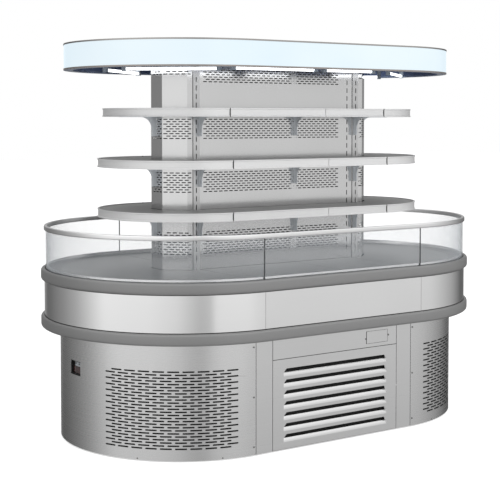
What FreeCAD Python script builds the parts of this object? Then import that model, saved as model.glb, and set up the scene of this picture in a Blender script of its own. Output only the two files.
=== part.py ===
"""Open multideck island fridge with rounded ends: chilled well, glass guard, shelves and lit canopy.

Millimetres, +Z up, origin on the floor under the middle. +X runs along the length, -Y is the front.
Every ring of the cabinet is a straight middle with a half circle at each end, all struck from the
same two centres at X = +-half_straight.
"""
import FreeCAD
import Part
import math
import os

Vector = FreeCAD.Vector
UP = Vector(0, 0, 1)
BACKWARDS = Vector(0, 1, 0)
RIGHTWARDS = Vector(1, 0, 0)
FRONT, BACK = -1, 1
LEFT, RIGHT = -1, 1

# ---------------------------------------------------------------- cabinet outline and heights
half_straight = 508.0       # half of the straight middle; the ends are half circles beyond it
bumper_radius = 764.0       # half width over the two bumpers, the widest pieces
skirt_inset = 100.0         # how far the machine-bay skirt stands in from the bumpers
belt_inset = 18.0           # the same for the polished belt round the well
glass_inset = 25.0          # the same for the glass guard
canopy_radius = 640.0       # half width over the canopy

floor_gap = 6.0             # daylight under the skirt
skirt_height = 577.0
bumper_height = 58.0
belt_height = 187.0
deck_drop = 10.0            # chilled deck below the top of the upper bumper
glass_rise = 200.0          # clear glass between the upper bumper and its rail
rail_height = 24.0
tier_rises = (319.0, 263.0, 264.0)  # each tier above the deck or shelf below it
canopy_rise = 199.0         # canopy's lower edge above the upper tier
canopy_height = 137.0

# ---------------------------------------------------------------- sheet, clearances
skirt_sheet = 2.0
panel_sheet = 1.5
belt_sheet = 2.0
seam = 1.5                  # open joint between neighbouring belt, glass, grille and lit panels
skirt_seam = 3.0            # the same in the skirt, which comes apart for service
fit_gap = 0.5               # between a sheet and what it hangs on
running = 0.05              # radial clearance of a shaft in its hole
moving_gap = 1.5            # round anything that opens
seat_gap = 0.3              # between a part that lifts off and its seat

# ---------------------------------------------------------------- base frame
bar = 40.0                  # square tube of the frame
rail_lift = 34.0            # underside of the bottom rails above the skirt's lower edge
rail_setback = 24.0         # long rails stand back from the service panels by this
inner_rail_x = 170.0
stub_y = 150.0
pan_sheet = 2.0

foot_x = 430.0
foot_pad_radius = 20.0
foot_pad_height = 10.0
foot_stud_radius = 6.0
foot_grip = 30.0            # stud inside the rail

# ---------------------------------------------------------------- skirt
post_width = 101.0          # fixed panel between an end skirt and the service panel
header_height = 117.0
louver_count = 7
louver_pitch = 55.5
louver_width = 668.0
louver_mouth = 44.0
louver_gape = 28.0          # open height above the blade's edge
louver_drop = 46.0          # from the panel's upper edge to the first mouth
louver_depth = 20.0
louver_corner = 18.0        # cut-back of the mouth's upper corners, along X
panel_lift = 10.0           # lower edge of the service panel above the skirt's lower edge
slot_rows = 6
slot_row_pitch = 68.0
slot_columns = 4
slot_length = 118.0
slot_height = 12.0
slot_field_low = 66.0       # first slot row above the skirt's lower edge
slot_field_start = 24.0     # degrees from the tip of the end
slot_field_end = 80.0
screw_inset = 13.0
screw_heights = (40.0, 288.0, 537.0)
screw_head_radius = 4.5
screw_head_height = 2.0

# ---------------------------------------------------------------- access flap and switches
flap_left = 197.0
flap_width = 148.0
flap_height = 66.0
flap_lift = 18.0            # flap's lower edge above the header's lower edge
flap_pin_radius = 1.5
flap_pin_depth = 2.0        # pin axis behind the flap's inner face
flap_pin_inset = 4.0        # pin axis from the edge of the hole
knuckle_radius = 2.8
knuckle_length = 20.0
lug_length = 6.0
lug_half = 5.0
flap_tail = 2.2             # flap's plate beyond its pin
finger_gap = 4.0            # opening for the fingers at the flap's free edge
finger_depth = 8.0          # return along the free edge
finger_inset = 4.0
header_fold = 12.0
header_fold_inset = 30.0
post_fold = 22.0
switch_box_depth = 60.0
switch_box_wall = 2.0
switch_box_setback = 14.0   # its face behind the skirt
switch_box_left = 8.0       # its side inside the edge of the hole
switch_box_right = 16.0
rocker_width = 24.0
rocker_height = 26.0
rocker_depth = 14.0
rocker_crest = 8.0          # rocker's face in front of its pivot
rocker_sink = 6.0           # pivot behind the box's face
rocker_tilt = 8.0
rocker_spacing = 44.0
rocker_play = 1.0
rocker_swing = 3.0          # extra height of its opening, for the tilt
pivot_radius = 2.0
pivot_end = 2.5             # pivot beyond each side of the rocker
ear_gap = 0.4
ear_sheet = 3.0
ear_half = 4.0

# ---------------------------------------------------------------- temperature controller
window_width = 100.0
window_height = 72.0
window_low = 366.0          # above the skirt's lower edge
window_offset = -16.0       # along Y from the tip of the left end
controller_depth = 60.0
bezel = 5.0
case_flange = 4.0           # lip of the case behind the edge of the window
button_radius = 3.5
button_length = 10.0
button_rise = 3.0           # button proud of the recess's floor
button_drop = 12.0          # buttons below the top of the recess
button_spacing = 36.0
lens_sheet = 2.0
lens_inset = 2.0
lens_height = 34.0
controller_setback = 6.0    # the case's face behind the skirt's crest
controller_recess = 9.0

# ---------------------------------------------------------------- machine bay
coil_width = 420.0
coil_height = 330.0
coil_depth = 60.0
coil_plate = 12.0
coil_x = -110.0
coil_setback = 64.0         # front face of the condenser behind the front skirt
shroud_depth = 70.0
shroud_sheet = 2.0
fan_seat = 0.55             # share of the shroud's depth at which the fan turns
fan_radius = 140.0
fan_ring_gap = 6.0
hub_radius = 38.0
hub_length = 34.0
blade_count = 5
blade_pitch = 28.0
blade_chord = 74.0
blade_sheet = 2.0
blade_tip = 6.0             # blade's square end inside the swept circle
blade_root = 0.7            # share of the hub's radius at which a blade is set in
motor_radius = 42.0
motor_length = 90.0
motor_gap = 20.0            # motor behind its shroud
motor_foot = 60.0
motor_foot_inset = 20.0
shaft_grip = 30.0           # shaft inside its motor
shaft_end_gap = 9.0         # bore beyond the end of the shaft
shaft_radius = 4.0
compressor_x = 290.0
compressor_y = -190.0
compressor_radius = 88.0
compressor_height = 190.0
dome_height = 52.0
dome_radius = 48.0          # at its top
mount_size = 24.0
mount_height = 16.0
mount_inset = 20.0          # mount's middle from the foot plate's edge
foot_plate_length = 230.0
foot_plate_width = 190.0
foot_plate = 4.0
terminal_width = 50.0
terminal_height = 70.0
terminal_depth = 28.0
terminal_low = 60.0         # above the foot plate
port_height = 90.0          # pipe ports above the base pan
drip_length = 300.0
drip_width = 280.0
drip_height = 60.0
drip_sheet = 2.0
drip_x = -270.0
drip_setback = 117.5        # inside the back rail's middle
box_length = 280.0
box_width = 200.0
box_height = 180.0
box_x = 260.0
box_setback = 57.5          # inside the back rail's middle
lid_lap = 3.0
lid_height = 12.0
gland_radius = 11.0
gland_length = 16.0
gland_height = 60.0
gland_places = (-60.0, 0.0)
pipe_radius = 6.0
pipe_bend = 44.0
suction_radius = 9.0

# ---------------------------------------------------------------- bumpers, belt, well
bumper_edge = 11.0
well_floor = 58.0
well_wall = 89.0
ledge_depth = 11.0          # bright ledge inside the glass
ledge_rise = 12.0           # how far it stands above the bumper
glass_sheet = 6.0
rail_depth = 19.0
rail_lap = 9.0              # handrail outside the face of the glass
grille_width = 62.0
deck_sheet = 3.0
middle_seam = 102.0         # joint between the long and the short front shelf

# ---------------------------------------------------------------- evaporator
evaporator_end_gap = 78.0   # end of the coil inside the end of the straight middle
evaporator_depth = 120.0
evaporator_height = 160.0
evaporator_setback = 250.0  # middle of the coil inside the well's wall
plenum_gap = 18.0           # fan plate behind the coil
plenum_sheet = 2.0
evap_fan_radius = 92.0
evap_fan_x = 215.0
evap_fan_lift = 22.0        # lowest point of the blades above the well floor
evap_fan_gap = 26.0         # wheel's middle behind the fan plate
evap_hub_radius = 24.0
evap_hub_length = 24.0
evap_motor_radius = 30.0
evap_motor_length = 50.0
evap_motor_gap = 28.0       # motor behind the wheel's middle
evap_motor_foot = 30.0
evap_motor_foot_inset = 8.0
evap_shaft_grip = 20.0
sleeve_gap = 1.0            # round the suction line in the well floor
suction_gap = 35.0          # suction line beyond the end of the coil

# ---------------------------------------------------------------- column
column_depth = 152.0        # half depth of the slotted column
column_sheet = 2.0
column_shoulder = 588.0     # where the end module turns in
column_tip = 683.0
column_tip_half = 57.0
column_fold = 24.0
tie_rise = 105.0            # ties inside the column above the lower and middle tiers
tie_lift = 10.0             # lowest tie above the deck
upright_x = 534.0
upright = 40.0
standard_width = 39.0
standard_depth = 6.0
hook_slot = 4.0
hook_length = 28.0
band_slots = 5
band_row_pitch = 36.0
band_slot_height = 10.0
band_gap = 28.0
band_insets = (24.0, 73.0)  # plain margin of the front panel at its left and right end
band_rises = (74.0, 87.0, 104.0, 137.0)     # above the deck and above each tier
band_heights = (95.0, 95.0, 95.0, 60.0)

# ---------------------------------------------------------------- shelves
shelf_names = ("lower_shelves", "middle_shelves", "upper_shelves")
shelf_radii = (466.0, 466.0, 437.5)
rail_face_height = 44.0
rail_face_depth = 8.0
shelf_drop = 4.0            # shelf surface below the top of its ticket rail
shelf_thickness = 20.0
shelf_seam = 4.0
shelf_back_gap = 1.0
bracket_x = 520.0
bracket_sheet = 3.0
bracket_tip = 22.0
bracket_root = 122.0
bracket_fillet = 62.0
bracket_setback = 40.0
bracket_neck = 30.0         # plate's width at the standard below the hollow curve
hook_drops = (6.0, 54.0)    # the two hooks of a bracket below its top edge
hook_play = 2.0

# ---------------------------------------------------------------- canopy
flange_width = 50.0
tray_sheet = 3.0
trim_height = 8.0
recess_depth = 39.0
fascia_sheet = 6.0
fascia_inset = 2.0
lamp_radius = 8.0
lamp_drop = 1.0             # lamp axis below the canopy's lower edge
lamp_spans = ((-554.0, -43.0), (17.0, 346.0))
lamp_y = 530.0
corner_lamp_outer = (930.0, 100.0)
corner_lamp_inner = (560.0, 410.0)
holder = 22.0
holder_lip = 4.0            # holder below the underside of its lamp

# ---------------------------------------------------------------- worked out from these
skirt_radius = bumper_radius - skirt_inset
belt_radius = bumper_radius - belt_inset
glass_radius = bumper_radius - glass_inset
skirt_low = floor_gap
skirt_top = skirt_low + skirt_height
belt_low = skirt_top + bumper_height
belt_top = belt_low + belt_height
bumper_top = belt_top + bumper_height
deck_height = bumper_top - deck_drop
deck_seat = deck_height - deck_sheet
glass_low = deck_seat
glass_top = bumper_top + glass_rise
shelf_tops = tuple(deck_height + sum(tier_rises[:count]) for count in (1, 2, 3))
canopy_low = shelf_tops[-1] + canopy_rise
overall_height = canopy_low + canopy_height
ceiling = canopy_low + recess_depth
column_top = ceiling
rail_low = skirt_low + rail_lift
frame_radius = skirt_radius - skirt_sheet - fit_gap
pan_top = rail_low + bar + pan_sheet
rail_y = frame_radius - rail_setback - bar / 2
header_low = skirt_top - header_height
post_inner = half_straight - post_width
well_radius = glass_radius
well_wall_inner = well_radius - well_wall
coil_y = skirt_radius - coil_setback
evaporator_length = 2 * (half_straight - evaporator_end_gap)
evaporator_y = well_wall_inner - evaporator_setback
plenum_y = evaporator_y - evaporator_depth / 2 - plenum_gap
ledge_radius = glass_radius - glass_sheet - fit_gap
deck_radius = ledge_radius - ledge_depth
well_floor_top = skirt_top + well_floor


# ================================================================ shape helpers
def box(x0, x1, y0, y1, z0, z1):
    """A block between two corners, given low and high along each axis."""
    return Part.makeBox(x1 - x0, y1 - y0, z1 - z0, Vector(x0, y0, z0))


def cylinder(radius, length, start, axis=UP):
    return Part.makeCylinder(radius, length, Vector(*start), axis)


def hex_prism(radius, length, start, axis=UP):
    """A hexagon by its corner radius, raised along an axis."""
    corners = [Vector(radius * math.cos(math.radians(60 * n)), radius * math.sin(math.radians(60 * n)), 0)
               for n in range(6)]
    solid = Part.Face(Part.makePolygon(corners + corners[:1])).extrude(Vector(0, 0, length))
    solid.Placement = FreeCAD.Placement(Vector(*start), FreeCAD.Rotation(UP, axis))
    return solid


def polygon(points):
    """A closed face through a few corner points."""
    corners = [Vector(*point) for point in points]
    return Part.Face(Part.makePolygon(corners + corners[:1]))


def prism(points, z0, z1):
    """A plan outline raised between two heights."""
    return polygon([(x, y, z0) for x, y in points]).extrude(Vector(0, 0, z1 - z0))


def slab(radius, z0, z1):
    """The cabinet's plan, straight middle and round ends, as a solid between two heights."""
    front_left = Vector(-half_straight, -radius, z0)
    front_right = Vector(half_straight, -radius, z0)
    back_right = Vector(half_straight, radius, z0)
    back_left = Vector(-half_straight, radius, z0)
    right_tip = Vector(half_straight + radius, 0, z0)
    left_tip = Vector(-half_straight - radius, 0, z0)
    edges = [
        Part.makeLine(front_left, front_right),
        Part.Arc(front_right, right_tip, back_right).toShape(),
        Part.makeLine(back_right, back_left),
        Part.Arc(back_left, left_tip, front_left).toShape(),
    ]
    return Part.Face(Part.Wire(edges)).extrude(Vector(0, 0, z1 - z0))


def ring(inner, outer, z0, z1):
    """A band of the cabinet's plan between two radii and two heights."""
    return slab(outer, z0, z1).cut(slab(inner, z0 - 1, z1 + 1))


def end_half(solid, end, trim=0.0):
    """What lies beyond the straight middle at one end, cut back by half a seam."""
    reach = 2 * overall_height
    start = half_straight + trim
    low, high = (start, reach) if end == RIGHT else (-reach, -start)
    return solid.common(box(low, high, -reach, reach, -reach, reach))


def side_run(solid, side, x0, x1):
    """The straight stretch of one long side between two places along X."""
    reach = 2 * overall_height
    low, high = (0, reach) if side == BACK else (-reach, 0)
    return solid.common(box(x0, x1, low, high, -reach, reach))


def moulding(points):
    """A ring whose cross-section is a polygon of (radius, height) corners."""
    parts = []
    for end in (LEFT, RIGHT):
        centre_x = end * half_straight
        face = polygon([(centre_x, -r, z) for r, z in points])
        parts.append(face.revolve(Vector(centre_x, 0, 0), UP, end * 180))
    for side in (FRONT, BACK):
        face = polygon([(-half_straight, side * r, z) for r, z in points])
        parts.append(face.extrude(Vector(2 * half_straight, 0, 0)))
    return parts[0].multiFuse(parts[1:]).removeSplitter()


def turned(shape):
    """The same piece on the other side of the island: half a turn about the middle."""
    copy = shape.copy()
    copy.rotate(Vector(0, 0, 0), UP, 180)
    return copy


def both_sides(shapes):
    return shapes + [turned(shape) for shape in shapes]


def rounded_pipe(points, radius, bend):
    """A tube along straight runs joined by tangent arcs of one radius."""
    corners = [Vector(*point) for point in points]
    edges = []
    start = corners[0]
    for before, corner, after in zip(corners, corners[1:], corners[2:]):
        into = (corner - before).normalize()
        out = (after - corner).normalize()
        turn = into.getAngle(out)
        setback = bend * math.tan(turn / 2)
        arc_start = corner - into * setback
        arc_end = corner + out * setback
        inward = (out - into).normalize()
        centre = corner + inward * (bend / math.cos(turn / 2))
        edges.append(Part.makeLine(start, arc_start))
        edges.append(Part.Arc(arc_start, centre - inward * bend, arc_end).toShape())
        start = arc_end
    edges.append(Part.makeLine(start, corners[-1]))
    path = Part.Wire(edges)
    along = (corners[1] - corners[0]).normalize()
    section = hex_prism(radius, 1, corners[0], along).Faces
    lowest = min(section, key=lambda face: (face.CenterOfMass - corners[0]).dot(along))
    return path.makePipeShell([lowest.OuterWire], True, False)


def save(name, shapes):
    """One sub-part as STEP; several solids in it stay separate."""
    solids = [solid for shape in shapes for solid in shape.Solids]
    whole = solids[0] if len(solids) == 1 else Part.makeCompound(solids)
    whole.exportStep(os.path.join("parts", name + ".step"))


# ================================================================ base
def frame_bars():
    """Square tubes butted together: corner uprights, two levels of rails, stubs to the end skirts."""
    outer_y = frame_radius
    inner_y = frame_radius - bar
    half_bar = bar / 2
    bars = []
    for z0 in (rail_low, skirt_top - bar):
        z1 = z0 + bar
        for side in (FRONT, BACK):
            y0, y1 = sorted((side * (rail_y - half_bar), side * (rail_y + half_bar)))
            long_rail = box(-half_straight + half_bar, half_straight - half_bar, y0, y1, z0, z1)
            if z0 == rail_low:
                for x in (-foot_x, foot_x):
                    hole_start = (x, side * rail_y, z0 - 1)
                    long_rail = long_rail.cut(cylinder(foot_stud_radius + running, bar + 2, hole_start))
            bars.append(long_rail)
        for x in (-half_straight, half_straight):
            bars.append(box(x - half_bar, x + half_bar, -inner_y, inner_y, z0, z1))
        for x in (-inner_rail_x, inner_rail_x):
            bars.append(box(x - half_bar, x + half_bar, -rail_y + half_bar, rail_y - half_bar, z0, z1))
        for end in (LEFT, RIGHT):
            for y in (-stub_y, stub_y):
                far_y = abs(y) + half_bar
                reach = half_straight + math.sqrt(frame_radius ** 2 - far_y ** 2)
                x0, x1 = sorted((end * (half_straight + half_bar), end * reach))
                bars.append(box(x0, x1, y - half_bar, y + half_bar, z0, z1))
    for x in (-half_straight, half_straight):
        for y in (-outer_y + half_bar, outer_y - half_bar):
            bars.append(box(x - half_bar, x + half_bar, y - half_bar, y + half_bar, rail_low, skirt_top))
    return bars


def base_pan():
    half_x = half_straight - bar / 2 - fit_gap
    return [box(-half_x, half_x, -rail_y, rail_y, rail_low + bar, pan_top)]


def level_foot(x, y):
    """A hexagonal pad with a threaded stud that turns in the bottom rail."""
    pad = hex_prism(foot_pad_radius, foot_pad_height, (x, y, 0))
    stud = cylinder(foot_stud_radius, rail_low + foot_grip - foot_pad_height, (x, y, foot_pad_height))
    return [pad.fuse(stud).removeSplitter()]


# ================================================================ skirt
def skirt_slots(end):
    """Staggered air slots, cut square to the curve, in the two fields of one end skirt."""
    cutters = []
    sweep = (slot_field_end - slot_field_start) / slot_columns
    for row in range(slot_rows):
        z = skirt_low + slot_field_low + row * slot_row_pitch
        stagger = sweep / 2 if row % 2 else 0
        columns = slot_columns - 1 if row % 2 else slot_columns
        for column in range(columns):
            angle = slot_field_start + (column + 0.5) * sweep + stagger
            for side in (FRONT, BACK):
                cutter = box(skirt_radius - 20, skirt_radius + 20, -slot_length / 2, slot_length / 2,
                             z, z + slot_height)
                cutter.rotate(Vector(0, 0, 0), UP, side * angle)
                cutter.translate(Vector(half_straight, 0, 0))
                cutters.append(cutter if end == RIGHT else turned(cutter))
    return cutters


def end_skirt(end):
    """One rolled sheet round the end, slotted for the machine bay's air."""
    shell = end_half(ring(skirt_radius - skirt_sheet, skirt_radius, skirt_low, skirt_top), end, skirt_seam / 2)
    cutters = skirt_slots(end)
    if end == LEFT:
        cutters.append(controller_window(skirt_radius + 20, skirt_radius - 80))
    return [shell.cut(Part.makeCompound(cutters))]


def controller_window(outer, inner, inset=0.0):
    """The block that fills the controller's window in the left end, between two depths."""
    z0 = skirt_low + window_low
    return box(-half_straight - outer, -half_straight - inner,
               window_offset - window_width / 2 + inset, window_offset + window_width / 2 - inset,
               z0 + inset, z0 + window_height - inset)


def skirt_plate(x0, x1, z0, z1):
    """A flat stretch of the front skirt."""
    return box(x0, x1, -skirt_radius, -skirt_radius + panel_sheet, z0, z1)


def skirt_posts():
    """The fixed panels beside each service panel, with a folded edge against the frame."""
    posts = []
    for x0, x1 in ((-half_straight + skirt_seam / 2, -post_inner - skirt_seam / 2),
                   (post_inner + skirt_seam / 2, half_straight - skirt_seam / 2)):
        face = skirt_plate(x0, x1, skirt_low, skirt_top)
        inner_x = x0 if abs(x0) < abs(x1) else x1 - panel_sheet
        fold = box(inner_x, inner_x + panel_sheet, -skirt_radius, -skirt_radius + post_fold,
                   skirt_low, rail_low - fit_gap)
        posts.append(face.fuse(fold).removeSplitter())
    return both_sides(posts)


def header():
    """The strip over the service panel, with a return along its lower edge."""
    x0, x1 = -post_inner + skirt_seam / 2, post_inner - skirt_seam / 2
    strip = skirt_plate(x0, x1, header_low, skirt_top)
    stiffener = box(x0 + header_fold_inset, x1 - header_fold_inset, -skirt_radius, -skirt_radius + header_fold,
                    header_low, header_low + panel_sheet)
    return strip.fuse(stiffener).removeSplitter()


def header_with_flap():
    """The front header: its hole, and the two lugs that hold the flap's hinge pin."""
    z0 = header_low + flap_lift
    hole = box(flap_left, flap_left + flap_width, -skirt_radius - 5, -skirt_radius + 5, z0, z0 + flap_height)
    body = header().cut(hole)
    x, y = flap_pin_place()
    for low in (z0 - lug_length, z0 + flap_height):
        lug = box(x - lug_half, x + lug_half, -skirt_radius + panel_sheet, y + lug_half, low, low + lug_length)
        body = body.fuse(lug)
    bore = cylinder(flap_pin_radius, flap_height + 2 * lug_length + 2, (x, y, z0 - lug_length - 1))
    return [body.cut(bore).removeSplitter()]


def flap_pin_place():
    x = flap_left + flap_width - flap_pin_inset
    y = -skirt_radius + panel_sheet + flap_pin_depth
    return x, y


def access_flap():
    """A flush flap on two knuckles, with a finger return along its free edge."""
    x, y = flap_pin_place()
    z0 = header_low + flap_lift + moving_gap
    z1 = header_low + flap_lift + flap_height - moving_gap
    x0 = flap_left + finger_gap
    plate = box(x0, x + flap_tail, -skirt_radius, -skirt_radius + panel_sheet, z0, z1)
    finger = box(x0, x0 + panel_sheet, -skirt_radius, -skirt_radius + finger_depth,
                 z0 + finger_inset, z1 - finger_inset)
    flap = plate.fuse(finger)
    for low in (z0, z1 - knuckle_length):
        flap = flap.fuse(cylinder(knuckle_radius, knuckle_length, (x, y, low)))
    bore = cylinder(flap_pin_radius + running, flap_height, (x, y, z0 - 1))
    outside = box(x - 10, x + 10, -skirt_radius - 10, -skirt_radius, z0 - 1, z1 + 1)
    return [flap.cut(bore).cut(outside).removeSplitter()]


def flap_pin():
    x, y = flap_pin_place()
    z0 = header_low + flap_lift - lug_length
    return [cylinder(flap_pin_radius, flap_height + 2 * lug_length, (x, y, z0))]


def louver_panel():
    """The service panel: louvres pressed inwards, open along the top and closed at both ends."""
    x0, x1 = -post_inner + skirt_seam / 2, post_inner - skirt_seam / 2
    z0, z1 = skirt_low + panel_lift, header_low - skirt_seam
    panel = skirt_plate(x0, x1, z0, z1)
    half = louver_width / 2
    inner = -skirt_radius + panel_sheet
    mouths = []
    blades = []
    for number in range(louver_count):
        top = z1 - louver_drop - number * louver_pitch
        low = top - louver_mouth
        shoulder = top - louver_gape
        mouth = polygon([(-half, inner + 1, low), (half, inner + 1, low), (half, inner + 1, shoulder),
                         (half - louver_corner, inner + 1, top), (-half + louver_corner, inner + 1, top),
                         (-half, inner + 1, shoulder)])
        mouths.append(mouth.extrude(Vector(0, -2 * louver_depth, 0)))
        blades.append(louver_blade(half, inner, low, shoulder))
    panel = panel.cut(Part.makeCompound(mouths))
    panel = panel.multiFuse(blades).removeSplitter()
    grip_y = -rail_y - bar / 2 - seat_gap
    folds = [box(x, x + panel_sheet, -skirt_radius, grip_y, z0, z1) for x in (x0, x1 - panel_sheet)]
    return panel.multiFuse(folds).removeSplitter()


def louver_blade(half, inner, low, shoulder):
    """One pressed blade: a curved lip that leans in from the sheet, with a web at each end."""
    face_y = inner - panel_sheet
    middle = (low + shoulder) / 2
    outer_arc = Part.Arc(Vector(-half, face_y, low), Vector(-half, face_y + louver_depth * 0.28, middle),
                         Vector(-half, face_y + louver_depth, shoulder))
    inner_arc = Part.Arc(Vector(-half, face_y + louver_depth + panel_sheet, shoulder),
                         Vector(-half, inner + louver_depth * 0.28, middle), Vector(-half, inner, low))
    section = Part.Wire([outer_arc.toShape(),
                         Part.makeLine(outer_arc.EndPoint, inner_arc.StartPoint),
                         inner_arc.toShape(),
                         Part.makeLine(inner_arc.EndPoint, outer_arc.StartPoint)])
    lip = Part.Face(section).extrude(Vector(2 * half, 0, 0))
    webs = []
    for x in (-half - panel_sheet, half):
        web = polygon([(x, face_y + panel_sheet / 2, low), (x, face_y + louver_depth + panel_sheet, shoulder),
                       (x, face_y + panel_sheet / 2, shoulder + louver_gape)])
        webs.append(web.extrude(Vector(panel_sheet, 0, 0)))
    return lip.multiFuse(webs)


def panel_screws():
    """Hexagon-head screws that hold the end skirts to the corner uprights."""
    screws = []
    x = half_straight + screw_inset
    for height in screw_heights:
        for end in (LEFT, RIGHT):
            seat = (end * x, -skirt_radius, skirt_low + height)
            screws.append(hex_prism(screw_head_radius, screw_head_height, seat, Vector(0, -1, 0)))
    return both_sides(screws)


# ================================================================ switches and controller
def switch_rack():
    """Where the switch box stands behind the flap: x0, x1, front y, z0, z1."""
    x0 = flap_left + switch_box_left
    x1 = flap_left + flap_width - switch_box_right
    front_y = -skirt_radius + switch_box_setback
    z0 = header_low + flap_lift
    z1 = skirt_top - bar - fit_gap
    return x0, x1, front_y, z0, z1


def rocker_places():
    x0, x1, front_y, z0, z1 = switch_rack()
    middle_x = (x0 + x1) / 2
    return [(middle_x + way * rocker_spacing / 2, front_y + rocker_sink, (z0 + z1) / 2) for way in (-1, 1)]


def switch_box():
    """A shell with two openings for the rockers."""
    x0, x1, front_y, z0, z1 = switch_rack()
    wall = switch_box_wall
    shell = box(x0, x1, front_y, front_y + switch_box_depth, z0, z1)
    hollow = box(x0 + wall, x1 - wall, front_y + wall, front_y + switch_box_depth - wall, z0 + wall, z1 - wall)
    body = shell.cut(hollow)
    half_width = rocker_width / 2
    half_mouth = rocker_height / 2 + rocker_swing
    bore_reach = half_width + ear_gap + ear_sheet + 1
    for x, y, z in rocker_places():
        body = body.cut(box(x - half_width - rocker_play, x + half_width + rocker_play,
                            front_y - wall, front_y + 2 * wall, z - half_mouth, z + half_mouth))
        for way in (-1, 1):
            inner_x = x + way * (half_width + ear_gap)
            ear_x0, ear_x1 = sorted((inner_x, inner_x + way * ear_sheet))
            body = body.fuse(box(ear_x0, ear_x1, front_y + wall / 2, y + ear_half, z - ear_half, z + ear_half))
        bore = cylinder(pivot_radius + running, 2 * bore_reach, (x - bore_reach, y, z), RIGHTWARDS)
        body = body.cut(bore)
    return [body.removeSplitter()]


def rocker(place):
    """A rocker on its own pivot, resting tipped to one side."""
    x, y, z = place
    half_width = rocker_width / 2
    cap = box(x - half_width, x + half_width, y - rocker_crest, y + rocker_depth - rocker_crest,
              z - rocker_height / 2, z + rocker_height / 2)
    pivot_reach = half_width + pivot_end
    pivot = cylinder(pivot_radius, 2 * pivot_reach, (x - pivot_reach, y, z), RIGHTWARDS)
    body = cap.fuse(pivot).removeSplitter()
    body.rotate(Vector(x, y, z), RIGHTWARDS, -rocker_tilt)
    return [body]


def controller_case():
    """The controller's body behind its window, with a recess for the display and two button bores."""
    face = skirt_radius - controller_setback
    body = controller_window(face, face - controller_depth, fit_gap)
    flange = controller_window(face, face - case_flange, -case_flange)
    body = body.fuse(flange).cut(controller_window(face + 1, face - controller_recess, bezel))
    for place in button_places():
        body = body.cut(cylinder(button_radius + running, button_length + case_flange, place, RIGHTWARDS))
    return [body.removeSplitter()]


def recess_floor_x():
    return -half_straight - (skirt_radius - controller_setback - controller_recess)


def button_places():
    """The front centre of each button's bore, in the floor of the controller's recess."""
    z = skirt_low + window_low + window_height - bezel - button_drop
    return [(recess_floor_x(), window_offset + way * button_spacing / 2, z) for way in (-1, 1)]


def controller_lens():
    """The dark window over the digits."""
    z0 = skirt_low + window_low + bezel + lens_inset
    x = recess_floor_x()
    half = window_width / 2 - bezel - lens_inset
    return [box(x - lens_sheet, x, window_offset - half, window_offset + half, z0, z0 + lens_height)]


def button(place):
    x, y, z = place
    return [cylinder(button_radius, button_length, (x - button_rise, y, z), RIGHTWARDS)]


# ================================================================ machine bay
def fan_wheel(centre, radius, hub, length, shaft_reach):
    """A hub with pitched blades, and its shaft behind, turning about Y."""
    x, y, z = centre
    wheel = cylinder(hub, length, (x, y - length / 2, z), BACKWARDS)
    for number in range(blade_count):
        half_chord = blade_chord * radius / fan_radius / 2
        blade = box(-half_chord, half_chord, -blade_sheet / 2, blade_sheet / 2,
                    hub * blade_root, radius - blade_tip)
        blade.rotate(Vector(0, 0, 0), UP, blade_pitch)
        blade.rotate(Vector(0, 0, 0), BACKWARDS, number * 360 / blade_count)
        blade.translate(Vector(x, y, z))
        wheel = wheel.fuse(blade)
    shaft = cylinder(shaft_radius, shaft_reach, centre, BACKWARDS)
    return [wheel.fuse(shaft).removeSplitter()]


def fan_motor(front, radius, length, grip, foot_width, foot_inset, floor):
    """A round motor with the bore for its fan's shaft, on a foot that stands on the floor below."""
    x, y, z = front
    body = cylinder(radius, length, front, BACKWARDS)
    foot = box(x - foot_width / 2, x + foot_width / 2, y + foot_inset, y + length - foot_inset, floor, z)
    bore = cylinder(shaft_radius + running, grip + shaft_end_gap, front, BACKWARDS)
    return body.fuse(foot).cut(bore).removeSplitter()


def condenser_axis():
    return coil_x, -coil_y + coil_depth + shroud_depth * fan_seat, pan_top + coil_height / 2


def condenser_motor_front():
    return -coil_y + coil_depth + shroud_depth + motor_gap


def condenser_coil():
    """A finned block between two tube plates that stand a little proud of it."""
    x0, x1 = coil_x - coil_width / 2, coil_x + coil_width / 2
    fins = box(x0, x1, -coil_y + 4, -coil_y + coil_depth, pan_top + 6, pan_top + coil_height - 6)
    plates = [box(x, x + coil_plate, -coil_y, -coil_y + coil_depth, pan_top, pan_top + coil_height)
              for x in (x0, x1 - coil_plate)]
    return [fins.multiFuse(plates).removeSplitter()]


def condenser_shroud():
    """A box that draws air through the coil to the round fan opening."""
    x0, x1 = coil_x - coil_width / 2, coil_x + coil_width / 2
    y0 = -coil_y + coil_depth
    y1 = y0 + shroud_depth
    shell = box(x0, x1, y0, y1, pan_top, pan_top + coil_height)
    hollow = box(x0 + shroud_sheet, x1 - shroud_sheet, y0 - 1, y1 - shroud_sheet,
                 pan_top + shroud_sheet, pan_top + coil_height - shroud_sheet)
    x, y, z = condenser_axis()
    mouth = cylinder(fan_radius + fan_ring_gap, 3 * shroud_sheet, (x, y1 - 2 * shroud_sheet, z), BACKWARDS)
    return [shell.cut(hollow).cut(mouth)]


def condenser_motor():
    """The fan motor on a foot that stands on the base pan."""
    x, y, z = condenser_axis()
    start_y = condenser_motor_front()
    return [fan_motor((x, start_y, z), motor_radius, motor_length, shaft_grip, motor_foot,
                      motor_foot_inset, pan_top)]


def condenser_fan():
    centre = condenser_axis()
    shaft_reach = condenser_motor_front() + shaft_grip - centre[1]
    return fan_wheel(centre, fan_radius, hub_radius, hub_length, shaft_reach)


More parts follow.
